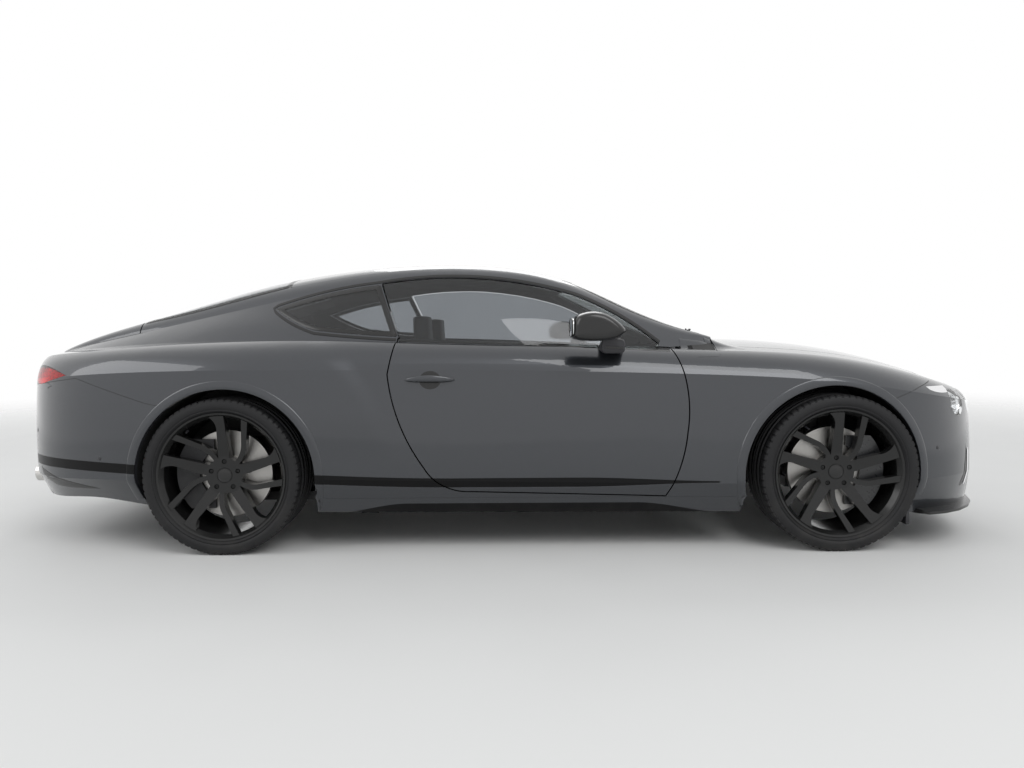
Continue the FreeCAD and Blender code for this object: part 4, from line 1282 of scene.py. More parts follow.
@dataclass
class BodyTrim:
    """Mouldings, glass borders, painted-shade lines along the panel joints and arch lips laid on the body."""

    skin: Skin
    glass: Skin
    shell: Skin
    arches: Sequence[tuple[str, float, float, float]] = (
        ("front", FRONT_ARCH, -14.0, 206.0),
        ("rear", REAR_ARCH, -30.0, 194.0),
    )
    arch_edge: float = 0.4124
    window_top: Runs = (
        ((0.742, 0.960), (0.560, 1.094), (0.352, 1.196)),
        ((0.352, 1.196), (-0.070, 1.280), (-0.600, 1.262)),
    )
    quarter_top: Runs = (
        ((-0.618, 1.259), (-0.890, 1.216), (-1.136, 1.146)),
        ((-1.136, 1.146), (-1.030, 1.082), (-0.914, 1.036)),
        ((-0.914, 1.036), (-0.720, 1.017), (-0.514, 1.003)),
    )
    screen: Runs = (
        ((0.290, 0.520), (0.348, 0.0), (0.290, -0.520)),
        ((0.290, -0.520), (0.620, -0.597), (0.960, -0.655)),
        ((0.960, -0.655), (1.041, 0.0), (0.960, 0.655)),
        ((0.960, 0.655), (0.620, 0.597), (0.290, 0.520)),
    )
    back_screen: Runs = (
        ((-1.084, -0.485), (-1.118, 0.0), (-1.084, 0.485)),
        ((-1.084, 0.485), (-1.480, 0.478), (-1.852, 0.455)),
        ((-1.852, 0.455), (-1.890, 0.0), (-1.852, -0.455)),
        ((-1.852, -0.455), (-1.480, -0.478), (-1.084, -0.485)),
    )
    front_joint: Runs = (
        ((1.795, 0.7025), (1.945, 0.7533)),
        ((1.945, 0.7533), (2.040, 0.7773)),
        ((2.040, 0.7773), (2.0403, 0.850)),
    )
    rear_joint: Runs = (
        ((-1.560, 0.6925), (-1.635, 0.7073)),
        ((-1.635, 0.7073), (-1.990, 0.8193)),
        ((-1.990, 0.8193), (-2.120, 0.8033)),
        ((-2.120, 0.8033), (-2.400, 0.7680)),
    )
    pillar_height: Flat = (1.0075, 1.2555)
    pillar_edges: Flat = (-0.5085, -0.5165)
    pillar_lean: float = 0.1005
    foot_joint: Runs = (
        ((0.802, 0.9443), (1.008, 0.9643)),
        ((1.008, 0.9643), (1.0185, 1.030)),
    )
    foot_ends: Flat = (0.975, 1.165)
    foot_height: float = 0.057
    foot_inner: float = 0.644
    bonnet_spread: float = 0.115
    foot_profile: Sequence[Flat] = (
        (0.0, 0.95), (0.006, 0.985), (0.0135, 0.98), (0.030, 0.92), (0.0435, 0.85), (0.055, 0.73),
        (0.066, 0.55), (0.0735, 0.40), (0.085, 0.22), (0.098, 0.08), (0.110, 0.01), (0.116, -0.06),
    )
    cheek_ends: Flat = (0.850, 0.990)
    cheek_profile: Sequence[tuple[float, float, float]] = (
        (0.700, 1.0, 0.006), (0.7115, 1.0, 0.0005), (0.722, 0.72, 0.0), (0.732, 0.42, 0.0),
        (0.742, 0.16, 0.0), (0.754, 0.0, 0.0003), (0.760, 0.0, -0.004),
    )
    wing_datum: Sequence[float] = (1.04, 0.65, 0.9470)
    wing_fall: float = 0.118
    wing_slope: float = 0.029

    def build(self) -> None:
        """Lays all of the trim."""
        for side in Side:
            cast = self.skin.side(side)
            self.window_surround(side, cast)
            self.joints(side, cast)
            self.pillar_foot(side)
            for end, x, start, stop in self.arches:
                self.arch_lip(end, side, x, start, stop, cast)
            closing = ((self.quarter_top[-1][-1], self.quarter_top[0][0]),)
            border = ribbon(trace(self.quarter_top + closing), self.glass.side(side),
                            (0.001, 0.002, 0.020), (0.0002, 0.0008, 0.0005), closed=True)
            border.piece("quarter_border_" + side.word, "body", "gloss_black", GLOSS_BLACK)
        self.borders()

    def window_surround(self, side: Side, cast: Cast) -> None:
        """The black moulding round the side windows and over the middle pillar.

        Args:
            side: Left or right.
            cast: Finds the body's surface.
        """
        path = trace(self.window_top + self.quarter_top, 0.012)
        strip = ribbon(path, cast, (-0.0072, -0.0085, -0.0200, -0.0215), (-0.002, 0.0022, 0.0022, -0.0005))
        strip.piece("window_surround_" + side.word, "body", "gloss_black", GLOSS_BLACK)
        rows = []
        cast = self.shell.side(side)
        low, high = self.pillar_height
        for k in range(13):
            share = k / 12
            z = low + (high - low) * share
            (front, n), (rear, m) = (cast(x - self.pillar_lean * share, z) for x in self.pillar_edges)
            rows.append([front - n * 0.004, front + n * 0.002, rear + m * 0.002, rear - m * 0.002])
        Shape().loft(rows).piece("pillar_strip_" + side.word, "body", "gloss_black", GLOSS_BLACK)

    def joints(self, side: Side, cast: Cast) -> None:
        """Dark strips along the joints where fixed panels meet: painted shade for the shadow inside the gaps.

        Args:
            side: Left or right.
            cast: Finds the body's surface.
        """
        # Painted shade: thin black strips stand in for the shadow down in each panel gap.
        for name, runs in (("front_joint", self.front_joint), ("rear_joint", self.rear_joint),
                           ("wing_joint", self.foot_joint)):
            line = ribbon(trace(runs), cast, (-0.0013, 0.0013), (0.0004, 0.0004))
            line.piece("%s_%s" % (name, side.word), "body", "liner_black", LINER_BLACK)

    def arch_lip(self, end: str, side: Side, x: float, start: float, stop: float, cast: Cast) -> None:
        """The flat raised lip round a wheel arch.

        Args:
            end: Front or rear.
            side: Left or right.
            x: The arch's middle.
            start: The angle at its front foot, in degrees.
            stop: The angle at its rear foot.
            cast: Finds the body's surface.
        """
        reach = (0.0006, 0.0006, 0.0035, 0.020, 0.034, 0.0375, 0.040)
        rise = (-0.010, 0.0022, 0.0036, 0.0040, 0.0040, 0.0030, -0.0005)
        rows = []
        for k in range(91):
            turn = math.radians(start + (stop - start) * k / 90)
            row = []
            for wide, high in zip(reach, rise):
                radius = self.arch_edge + wide
                spot, normal = cast(x + radius * math.cos(turn), ARCH_HEIGHT + radius * math.sin(turn))
                row.append(spot + normal * high)
            rows.append(row)
        lip = Shape().loft(rows)
        lip.piece("arch_lip_%s_%s" % (end, side.word), "body", "body_paint", PAINT, sharp=60)

    def pillar_foot(self, side: Side) -> None:
        """The foot of the windscreen pillar, running out along the wing beside the bonnet.

        Args:
            side: Left or right.
        """
        start, stop = self.foot_ends
        rows = []
        for k in range(25):
            t = k / 24
            x = start + (stop - start) * t
            tall = self.foot_height * (1 - t) ** 1.7 + 0.0005
            inner = self.foot_inner + self.bonnet_spread * (x - self.wing_datum[0])
            row = [Vector((x, side.value * inner, self.wing_top(x, inner) - 0.004))]
            for step, share in self.foot_profile:
                y = inner + step * (1 - 0.35 * t)
                row.append(Vector((x, side.value * y, self.wing_top(x, y) + tall * share)))
            rows.append(row)
        foot = Shape().loft(rows)
        start, stop = self.cheek_ends
        rows = []
        for k in range(15):
            x = start + (stop - start) * k / 14
            edge = 0.983 - 0.12 * (x - 0.86) - 2.6 * max(0.0, x - 0.935) ** 2
            low = self.wing_top(x, 0.745)
            rows.append([Vector((x, side.value * y, low + (edge - low) * share + lift))
                         for y, share, lift in self.cheek_profile])
        foot.loft(rows)
        foot.piece("pillar_foot_" + side.word, "body", "body_paint", PAINT, sharp=50)

    def wing_top(self, x: float, y: float) -> float:
        """The height of the wing's top beside the bonnet.

        Args:
            x: The place along the car.
            y: The distance from its middle.

        Returns:
            The height.
        """
        datum_x, datum_y, height = self.wing_datum
        return height - self.wing_fall * (y - datum_y) - self.wing_slope * (x - datum_x)

    def borders(self) -> None:
        """The dark printed borders of the windscreen and the rear window."""
        top = self.glass.top()
        for name, runs, wide in (("windscreen_border", self.screen, 0.034),
                                 ("rear_window_border", self.back_screen, 0.030)):
            strip = ribbon(trace(runs), top, (0.0006, 0.0016, wide), (0.0002, 0.0009, 0.0006), closed=True)
            strip.piece(name, "body", "gloss_black", GLOSS_BLACK)


@dataclass
class Doors:
    """Handles, belt mouldings and linings that swing with the doors."""

    skin: Skin
    belt: Runs = (((-0.500, 0.9925), (0.078, 0.9735), (0.786, 0.9405)),)
    handle_from: float = -0.455
    handle_to: float = -0.224
    handle_height: float = 0.803
    cup_at: float = -0.338
    cup_half: Flat = (0.050, 0.042)
    shell_middle: Flat = (0.410, 1.038)
    shell_outline: Sequence[Flat] = (
        (0.313, 0.990), (0.307, 1.018), (0.309, 1.060), (0.327, 1.092), (0.362, 1.107), (0.408, 1.111),
        (0.455, 1.100), (0.500, 1.075), (0.532, 1.047), (0.546, 1.026), (0.538, 1.008), (0.505, 0.990),
        (0.450, 0.980), (0.370, 0.979),
    )
    shell_sections: Sequence[Flat] = (
        (0.897, 0.62), (0.899, 0.78), (0.906, 0.88), (0.925, 0.95), (0.955, 0.99), (1.000, 1.0),
        (1.040, 0.985), (1.066, 0.94), (1.081, 0.86), (1.089, 0.75), (1.0925, 0.60),
    )
    stem_sections: Sequence[tuple[float, float, float, float, float]] = (
        (0.828, 0.498, 0.948, 0.050, 0.016), (0.860, 0.500, 0.950, 0.053, 0.024),
        (0.905, 0.501, 0.953, 0.055, 0.033), (0.945, 0.501, 0.955, 0.054, 0.034),
        (0.952, 0.501, 0.956, 0.050, 0.031),
    )
    glass_middle: Flat = (0.992, 1.040)
    glass_half: Flat = (0.078, 0.041)
    glass_sections: Sequence[Flat] = ((0.3120, 1.0), (0.3050, 1.0), (0.3045, 0.99), (0.3045, 0.02))
    rim_x: float = 0.3060
    speaker: Sequence[float] = (0.600, 0.812, 0.470)
    pull_from: float = 0.20
    pull_length: float = 0.22

    def build(self) -> None:
        """Makes both doors' pieces."""
        for side in Side:
            cast = self.skin.side(side)
            body = "door_" + side.word
            moulding = ribbon(trace(self.belt), cast, (-0.0004, -0.0012, -0.0125, -0.0140),
                              (0.0, 0.0035, 0.0035, 0.0))
            moulding.piece("belt_moulding_" + side.word, body, "gloss_black", GLOSS_BLACK)
            self.handle(side, cast, body)
            self.lining(side, body)
            self.mirror(side, body)

    def handle(self, side: Side, cast: Cast, body: str) -> None:
        """A bar with pointed ends across a round cup.

        Args:
            side: Left or right.
            cast: Finds the door's surface.
            body: The door's body.
        """
        centre = (self.cup_at, self.handle_height)
        cup = patch(oval(centre, self.cup_half, 2.0, 56), cast, 0.0007, 6, 0.0)
        cup.piece("handle_cup_" + side.word, body, "trim_black", GLOSS_BLACK)
        rows = []
        count = 28
        for k in range(count + 1):
            share = k / count
            x = self.handle_from + (self.handle_to - self.handle_from) * share
            spread = math.sin(math.pi * share) ** 0.55 if 0 < k < count else 0.03
            spot, normal = cast(x, self.handle_height + 0.004 * math.sin(math.pi * share))
            lift = 0.006 + 0.022 * math.sin(math.pi * share) ** 0.6 if 0 < k < count else 0.002
            half, thick = 0.0148 * spread + 0.0006, 0.0085 * spread + 0.0008
            middle = spot + normal * lift
            rows.append([middle + UP * (half * math.copysign(abs(math.sin(t)) ** 0.7, math.sin(t)))
                         + normal * (thick * math.cos(t)) for t in turns(20)])
        bar = Shape().loft(rows, round_row=True, caps=True)
        bar.piece("door_handle_" + side.word, body, "body_paint", PAINT, subdivide=1)

    def lining(self, side: Side, body: str) -> None:
        """The armrest, pull and speaker on the inside of a door.

        Args:
            side: Left or right.
            body: The door's body.
        """
        sign = side.value
        rows = []
        for k in range(17):
            share = k / 16
            x = -0.30 + 0.82 * share
            swell = math.sin(math.pi * share) ** 0.35 if 0 < k < 16 else 0.25
            z, y = 0.675 + 0.035 * share, 0.790 - 0.004 * share
            rows.append([Vector((x, sign * (y + 0.040 * u * swell), z + 0.030 * v * swell))
                         for u, v in oval((0, 0), (1, 1), 3.5, 18)])
        arm = Shape().loft(rows, round_row=True, caps=True)
        arm.piece("door_armrest_" + side.word, body, "leather", LEATHER, subdivide=1)
        points = []
        for k in range(15):
            along = self.pull_length * k / 14
            arch = 0.030 * math.sin(math.pi * along / self.pull_length)
            points.append(Vector((self.pull_from + along, sign * (0.792 - arch), 0.800 + 0.02 * along)))
        pull = Shape().rod(points, 0.008, 12, 1.5)
        pull.piece("door_pull_" + side.word, body, "steel_bright", BRIGHT)
        x, y, z = self.speaker
        place, outward = Vector((x, sign * y, z)), Vector((0, sign, 0))
        ring = Shape().turned([(0.058, 0.0), (0.066, 0.0), (0.066, -0.007), (0.060, -0.009), (0.057, -0.005)],
                              place, outward, 40)
        ring.turned([(0, -0.001), (0.058, -0.001), (0.058, -0.004), (0.03, -0.007), (0, -0.0075)],
                    place, outward, 40)
        ring.piece("door_speaker_" + side.word, body, "trim_black", TRIM_BLACK)

    def mirror(self, side: Side, body: str) -> None:
        """A door mirror: domed shell, stem, glass and its rim.

        Args:
            side: Left or right.
            body: The door's body.
        """
        sign = side.value
        outline = smooth_loop(self.shell_outline, 5)
        rows = []
        for y, share in self.shell_sections:
            section = scaled(outline, self.shell_middle, share, share)
            rows.append([Vector((x, sign * y, z)) for x, z in section])
        shell = Shape().loft(rows, round_row=True, caps=True)
        shell = shell.piece("mirror_shell_" + side.word, body, "gloss_black", GLOSS_BLACK,
                            sharp=70, subdivide=1)
        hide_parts("mirror_" + side.word)
        rows = []
        for y, x, z, half_x, half_z in self.stem_sections:
            section = oval((0.0, 0.0), (half_x, half_z), 4.0, 28)
            rows.append([Vector((x + a, sign * y, z + b)) for a, b in section])
        Shape().loft(rows, round_row=True, caps=True).piece(
            "mirror_stem_" + side.word, body, "trim_black", TRIM_BLACK, sharp=60)
        face = oval(self.glass_middle, self.glass_half, 3.0, 48)
        rows = []
        for x, share in self.glass_sections:
            section = scaled(face, self.glass_middle, share, share)
            rows.append([Vector((x, sign * y, z)) for y, z in section])
        glass = Shape().loft(rows, round_row=True)
        glass.piece("mirror_glass_" + side.word, body, "steel_bright", MIRROR_SILVER)
        around = [Vector((self.rim_x, sign * y, z)) for y, z in face + face[:2]]
        rim = Shape().rod(around, 0.0034, 8, 1.0, AHEAD)
        rim.piece("mirror_rim_" + side.word, body, "gloss_black", GLOSS_BLACK)


@dataclass
class Lamps:
    """What is seen behind the clear and red lenses."""

    front_lens: Skin
    rear_lens: Skin
    body: Skin
    bowls: Sequence[tuple[str, float, float, float, float]] = (
        ("inner", 0.548, 0.694, 0.098, 16.0),
        ("outer", 0.775, 0.672, 0.064, 42.0),
    )
    datum: float = 2.210
    wedge: Runs = (
        ((1.990, 0.7540), (2.060, 0.7535), (2.125, 0.7520)),
        ((2.125, 0.7520), (2.131, 0.7370), (2.128, 0.7225)),
        ((2.128, 0.7225), (2.070, 0.7235), (2.030, 0.7310)),
        ((2.030, 0.7310), (2.006, 0.7400), (1.990, 0.7540)),
    )
    tail: Runs = (
        ((0.515, 0.826), (0.680, 0.874), (0.845, 0.832)),
        ((0.845, 0.832), (0.680, 0.782), (0.515, 0.826)),
    )
    tail_middle: Flat = (0.680, 0.829)

    def build(self) -> None:
        """Makes the front bowls and the rear guides of both sides."""
        for side in Side:
            for name, y, z, radius, turn in self.bowls:
                self.bowl(side, name, y, z, radius, turn)
            self.guides(side)
            wedge = patch(trace(self.wedge)[:-1], self.body.side(side), 0.0016, 4, 0.0004)
            wedge.piece("lamp_wedge_" + side.word, "body", "steel_bright", BRIGHT)

    def bowl(self, side: Side, name: str, y: float, z: float, radius: float, turn: float) -> None:
        """A headlamp's bright bowl, ring and projector.

        Args:
            side: Left or right.
            name: The lamp's place.
            y: Its middle's distance from the car's middle.
            z: Its height.
            radius: The lens's radius.
            turn: How far it looks outward, in degrees.
        """
        sign = side.value
        way = Vector((math.cos(math.radians(turn)), sign * math.sin(math.radians(turn)), 0))
        across = Vector((-way.y, way.x, 0))
        start = Vector((self.datum, sign * y, z)) - way * 0.16
        lip = radius - 0.004
        spokes = [across * math.cos(t) + UP * math.sin(t) for t in turns(56)]
        depths = []
        for spoke in spokes:
            spot, _ = self.front_lens.hit(start + spoke * lip, way)
            depths.append((spot - start - spoke * lip).dot(way) - 0.002)
        base = min(depths) - 0.030
        inside, outside = [], []
        for spoke, depth in zip(spokes, depths):
            inside.append([start + spoke * reach + way * deep for reach, deep in (
                (lip, depth), (radius - 0.011, depth - 0.004),
                (radius * 0.84, max(base + 0.012, depth - 0.030)), (radius * 0.62, base - 0.004),
                (radius * 0.60, base - 0.020), (0.0005, base - 0.022))])
            outside.append([start + spoke * reach + way * deep for reach, deep in (
                (radius - 0.002, depth - 0.004), (radius - 0.002, base - 0.004),
                (radius * 0.80, base - 0.030), (0.0005, base - 0.034))])
        tag = "%s_%s" % (name, side.word)
        bowl = Shape().loft(list(zip(*inside)), round_row=True)
        bowl.piece("lamp_bowl_" + tag, "body", "steel_bright", BRIGHT, sharp=25)
        housing = Shape().loft(list(zip(*outside)), round_row=True)
        housing.piece("lamp_housing_" + tag, "body", "trim_black", TRIM_BLACK, sharp=30)
        r = radius * 0.46
        eye = Shape().turned([(r, -0.016), (r, 0.004), (r * 0.93, 0.008), (r * 0.84, 0.006),
                              (r * 0.84, -0.016)], start + way * base, way, 48)
        for turn in turns(24):
            spoke = across * math.cos(turn) + UP * math.sin(turn)
            foot = start + way * (base + 0.002) + spoke * (radius * 0.74)
            eye.rod([foot, foot + way * 0.010], radius * 0.055, 8, 1.0, across, 0.8)
        eye.piece("lamp_crystals_" + tag, "body", "steel_bright", BRIGHT)
        r = radius * 0.39
        lens = Shape().turned([(0, -0.006), (r, -0.006), (r, 0.0), (r * 0.86, 0.008), (r * 0.6, 0.014),
                               (r * 0.3, 0.017), (0, 0.018)], start + way * base, way, 40)
        lens.piece("lamp_projector_" + tag, "body", "gloss_black", DARK_SCREEN, sharp=50)

    def guides(self, side: Side) -> None:
        """The red reflector and its light guides behind a tail lens.

        Args:
            side: Left or right.
        """
        def inside(y: float, z: float) -> tuple[Vector, Vector]:
            """Where the lens's inner face lies behind a place."""
            return self.rear_lens.hit(Vector((-1.85, side.value * y, z)), -AHEAD)

        outline = trace(self.tail, 0.012)[:-1]
        back = patch(scaled(outline, self.tail_middle, 0.93, 0.88), inside, 0.004, 6, 0.004)
        back.piece("tail_reflector_" + side.word, "body", "lamp_red", RED_GLOW)
        for name, share, thick in (("outer", 0.80, 0.0042), ("inner", 0.42, 0.0036)):
            loop = scaled(outline, self.tail_middle, share, share * 0.86)
            points = [spot + normal * 0.010 for spot, normal in (inside(y, z) for y, z in loop + loop[:2])]
            guide = Shape().rod(points, thick, 8, 1.0, AHEAD)
            guide.piece("tail_guide_%s_%s" % (name, side.word), "body", "lamp_red", RED_LENS)


@dataclass
class Nose:
    """Splitter, bumper blades, intake mesh and sensors at the front."""

    skin: Skin
    splitter_edge: Sequence[Flat] = (
        (1.985, 0.905), (2.075, 0.878), (2.172, 0.822), (2.258, 0.742), (2.330, 0.638), (2.380, 0.515),
        (2.412, 0.370), (2.430, 0.195), (2.435, 0.0),
    )
    splitter_height: float = 0.170
    splitter_section: Sequence[Flat] = (
        (0.002, -0.004), (0.0, 0.0), (0.002, 0.008), (0.045, 0.015), (0.150, 0.018), (0.150, -0.002),
        (0.060, -0.006),
    )
    slot_outline: Runs = (
        ((0.716, 0.466), (0.738, 0.370), (0.754, 0.272)),
        ((0.754, 0.272), (0.742, 0.264), (0.729, 0.270)),
        ((0.729, 0.270), (0.714, 0.365), (0.716, 0.466)),
    )
    end_sensors: Sequence[tuple[int, float, float]] = (
        (1, 0.42, 0.375), (1, -0.42, 0.375), (-1, 0.40, 0.520), (-1, -0.40, 0.520),
        (-1, 0.72, 0.560), (-1, -0.72, 0.560),
    )
    flank_sensors: Sequence[Flat] = ((2.030, 0.470), (-1.860, 0.452))

    def build(self) -> None:
        """Makes the front's small pieces."""
        self.splitter()
        self.mesh()
        for side in Side:
            self.slot(side)
            self.deflector(side)
        self.sensors()

    def splitter(self) -> None:
        """The thin blade under the bumper."""
        plan = list(self.splitter_edge) + [(x, -y) for x, y in reversed(self.splitter_edge[:-1])]
        rows = []
        for x, y in plan:
            back = Vector((x - 0.10, y * 0.88, 0)) - Vector((x, y, 0))
            back.normalize()
            drop = 0.006 * min(1.0, abs(y) / 0.4)
            edge = Vector((x, y, self.splitter_height - drop))
            rows.append([edge + back * d + Vector((0, 0, h)) for d, h in self.splitter_section])
        blade = Shape().loft(rows, round_row=True, caps=True)
        blade.piece("front_splitter", "body", "gloss_black", GLOSS_BLACK)

    def mesh(self) -> None:
        """The crossed wires in front of the lower intake."""
        cast = self.skin.end(1)
        wires = Shape()
        for lean in (1, -1):
            for k in range(-14, 15):
                points = []
                for j in range(9):
                    z = 0.205 + 0.120 * j / 8
                    y = 0.040 * k + lean * 0.075 * (j / 8 - 0.5)
                    if abs(y) < 0.555:
                        spot, normal = cast(y, z)
                        points.append(spot - normal * 0.0016)
                if len(points) > 4:
                    wires.rod(points, 0.0026, 6)
        wires.piece("intake_mesh", "body", "gloss_black", GLOSS_BLACK)

    def slot(self, side: Side) -> None:
        """The upright dark opening at the bumper's corner, with its bright edge.

        Args:
            side: Left or right.
        """
        cast = self.skin.end(1)
        sign = side.value
        outline = [(sign * y, z) for y, z in trace(self.slot_outline, 0.010)[:-1]]
        slot = patch(outline, cast, 0.0012, 4, 0.0002)
        slot.piece("bumper_slot_" + side.word, "body", "gloss_black", GLOSS_BLACK)
        points = []
        for k in range(15):
            spot, normal = cast(sign * (0.720 - 0.014 * k / 14), 0.268 + 0.178 * k / 14)
            points.append(spot + normal * 0.003)
        blade = Shape().rod(points, 0.0035, 8, 1.0, AHEAD, 0.3)
        blade.piece("bumper_blade_" + side.word, "body", "steel_bright", BRIGHT)

    def deflector(self, side: Side) -> None:
        """The small flap ahead of a front wheel.

        Args:
            side: Left or right.
        """
        sign = side.value
        flap = Shape().block((1.885, 0.720, 0.108), (1.903, 0.880, 0.170), 0.96)
        for point in flap.points:
            point.y *= sign
        flap.piece("wheel_deflector_" + side.word, "body", "trim_black", TRIM_BLACK, bevel=0.003)

    def sensors(self) -> None:
        """The parking sensors of both bumpers."""
        spots = [self.skin.end(sign)(y, z) for sign, y, z in self.end_sensors]
        spots += [self.skin.side(side)(x, z) for side in Side for x, z in self.flank_sensors]
        dots = Shape()
        for spot, normal in spots:
            dots.turned([(0, -0.002), (0.0085, -0.002), (0.0085, 0.0006), (0.0075, 0.0012), (0, 0.0014)],
                        spot, normal, 24)
        dots.piece("parking_sensors", "body", "trim_black", TRIM_BLACK)


@dataclass
class Tail:
    """Diffuser fins, exhaust recess patches, blank plate and its frame."""

    skin: Skin
    fins: int = 4
    recess: Runs = (
        ((-2.235, 0.392), (-2.075, 0.345), (-1.888, 0.303)),
        ((-1.888, 0.303), (-2.020, 0.299), (-2.140, 0.304)),
        ((-2.140, 0.304), (-2.200, 0.342), (-2.235, 0.392)),
    )
    fin_section: Sequence[Flat] = (
        (-0.004, -0.005), (0.012, -0.003), (0.014, 0.0), (0.012, 0.003), (-0.004, 0.005),
    )
    plate_middle: Flat = (0.0, 0.560)
    plate_half: Flat = (0.262, 0.058)
    frame_half: Flat = (0.268, 0.064)

    def build(self) -> None:
        """Makes the tail's small pieces."""
        cast = self.skin.end(-1)
        fins = Shape()
        for k in range(self.fins):
            y = -0.30 + 0.60 * k / (self.fins - 1)
            rows = []
            for j in range(9):
                z = 0.255 + 0.135 * j / 8
                spot, normal = cast(y, z)
                rows.append([spot + normal * d + Vector((0, w, 0)) for d, w in self.fin_section])
            fins.loft(rows)
        fins.piece("diffuser_fins", "body", "trim_black", TRIM_BLACK)
        for side in Side:
            corner = patch(trace(self.recess)[:-1], self.skin.side(side), 0.0010, 5, 0.0002)
            corner.piece("exhaust_recess_" + side.word, "body", "gloss_black", GLOSS_BLACK)
        plate = patch(oval(self.plate_middle, self.plate_half, 14.0, 64), cast, 0.0006, 4, -0.0004)
        plate.piece("blank_plate", "body", "trim_black", PLATE_WHITE, sharp=60)
        frame = ribbon(oval(self.plate_middle, self.frame_half, 14.0, 64), cast,
                       (-0.004, -0.002, 0.004, 0.005), (-0.001, 0.0012, 0.0012, -0.0005), closed=True)
        frame.piece("plate_frame", "body", "gloss_black", GLOSS_BLACK)


@dataclass
class Wipers:
    """Two arms with their blades, parked at the foot of the windscreen."""

    skin: Skin
    glass: Skin
    pivots: Sequence[tuple[float, float]] = ((0.555, -0.050), (0.035, -0.545))
    base: float = 1.002
    bend: float = 0.081

    def build(self) -> None:
        """Makes both wipers."""
        cast, top = self.glass.top(), self.skin.top()
        for count, (start, stop) in enumerate(self.pivots):
            blade = []
            for k in range(33):
                y = start - 0.02 + (stop - start + 0.02) * k / 32
                x = self.base - self.bend * (y / 0.655) ** 2
                spot, normal = cast(x - 0.010, y)
                blade.append(spot + normal * 0.010)
            rubber = [p - Vector((0, 0, 0.005)) for p in blade]
            up = Vector((0.4, 0, 1)).normalized()
            work = Shape().rod(blade, 0.0065, 10, 0.8, up, 0.5).rod(rubber, 0.0024, 6, 1.8, up)
            foot, normal = top(self.base + 0.052 - self.bend * (start / 0.655) ** 2, start + 0.02)
            elbow = foot + normal * 0.022
            joint = blade[16] + Vector((0, 0, 0.010))
            arm = [foot - normal * 0.002, foot + normal * 0.014, elbow + (joint - elbow) * 0.06]
            for k in range(1, 11):
                rise = 0.006 * math.sin(math.pi * k / 10)
                arm.append(elbow + (joint - elbow) * (k / 10) + Vector((0, 0, rise)))
            work.rod(arm, 0.0075, 10, 0.7, Vector((1, 0, 0.2)).normalized(), 0.6)
            work.turned([(0, -0.002), (0.016, -0.002), (0.016, 0.012), (0.012, 0.018), (0, 0.020)],
                        foot, normal, 24)
            work.piece("wiper_%d" % (count + 1), "body", "trim_black", TRIM_BLACK)


@dataclass
class Pad:
    """One padded form of a seat, made from sections along its length."""

    name: str
    line: Sequence[Flat]
    y: float
    half_width: float
    thick: float
    bolster: float = 0.030
    crown: float = 0.010
    channels: int = 5
    narrow: float = 0.10
    seam: float = 0.52
    fill: float = 0.8
    count: int = 44
    around: int = 72

    def spine(self, share: float) -> tuple[Vector, Vector]:
        """The middle line's point and the way that the pad faces there.

        Args:
            share: From 0 to 1 along the line.

        Returns:
            The point and the direction.
        """
        place = share * (len(self.line) - 1)
        k = min(int(place), len(self.line) - 2)
        part = place - k
        p = [Vector((x, self.y, z)) for x, z in self.line]
        before, after = p[max(k - 1, 0)], p[min(k + 2, len(p) - 1)]
        a, b = p[k], p[k + 1]
        t2, t3 = part * part, part ** 3
        spot = 0.5 * ((2 * a) + (b - before) * part + (2 * before - 5 * a + 4 * b - after) * t2
                      + (3 * a - before - 3 * b + after) * t3)
        along = (b - before).lerp(after - a, part).normalized()
        return spot, Vector((0, -1, 0)).cross(along)

    def surface(self, share: float, turn: float) -> Vector:
        """A point of the pad's cover.

        Args:
            share: From 0 to 1 along the line.
            turn: The angle round the section.

        Returns:
            The point.
        """
        spot, face = self.spine(share)
        end = min(share, 1 - share)
        close = min(1.0, end / 0.10)
        close = (1 - (1 - close) ** 2.4) ** 0.5 if close < 1 else 1.0
        close = max(close, 0.02)
        c, s = math.cos(turn), math.sin(turn)
        u = math.copysign(abs(c) ** 0.55, c)
        v = math.copysign(abs(s) ** 0.55, s)
        width = self.half_width * (1 - self.narrow * share) * (0.82 + 0.18 * close)
        rise = v * self.thick / 2 * close
        if v > 0:
            side = max(0.0, (abs(u) - self.seam) / (1 - self.seam))
            bolster = self.bolster * side * side * (3 - 2 * side)
            crown = self.crown * max(0.0, 1 - (abs(u) / self.seam) ** 2)
            rise += v * close * (bolster + crown)
            if abs(u) < 0.50:
                wave = share * (self.channels + 1) * 1.25
                rise -= 0.0055 * close * math.exp(-((wave - round(wave)) / 0.10) ** 2)
            rise -= 0.0065 * close * math.exp(-((abs(u) - 0.53) / 0.028) ** 2)
        return spot + Vector((0, width * u, 0)) + face * rise

    def build(self, finish: Finish) -> bpy.types.Object:
        """Makes the pad with its piping.

        Args:
            finish: The cover's finish.

        Returns:
            The pad.
        """
        rows = []
        for i in range(self.count + 1):
            share = 0.002 + 0.996 * i / self.count
            rows.append([self.surface(share, 2 * math.pi * (k + 0.5) / self.around)
                         for k in range(self.around)])
        made = Shape().loft(rows, round_row=True, caps=True)
        pad = made.piece(self.name, "body", "leather", finish, sharp=80)
        stitches = Shape()
        for turn in (math.radians(70.5), math.radians(109.5)):
            shares = [0.09 + 0.82 * i / 60 for i in range(61)]
            points = [self.surface(share, turn) + self.spine(share)[1] * 0.0012 for share in shares]
            stitches.rod(points, 0.0016, 6, 1.0, Vector((0, 1, 0)))
        stitches.piece(self.name + "_piping", "body", "leather", THREAD)
        return pad


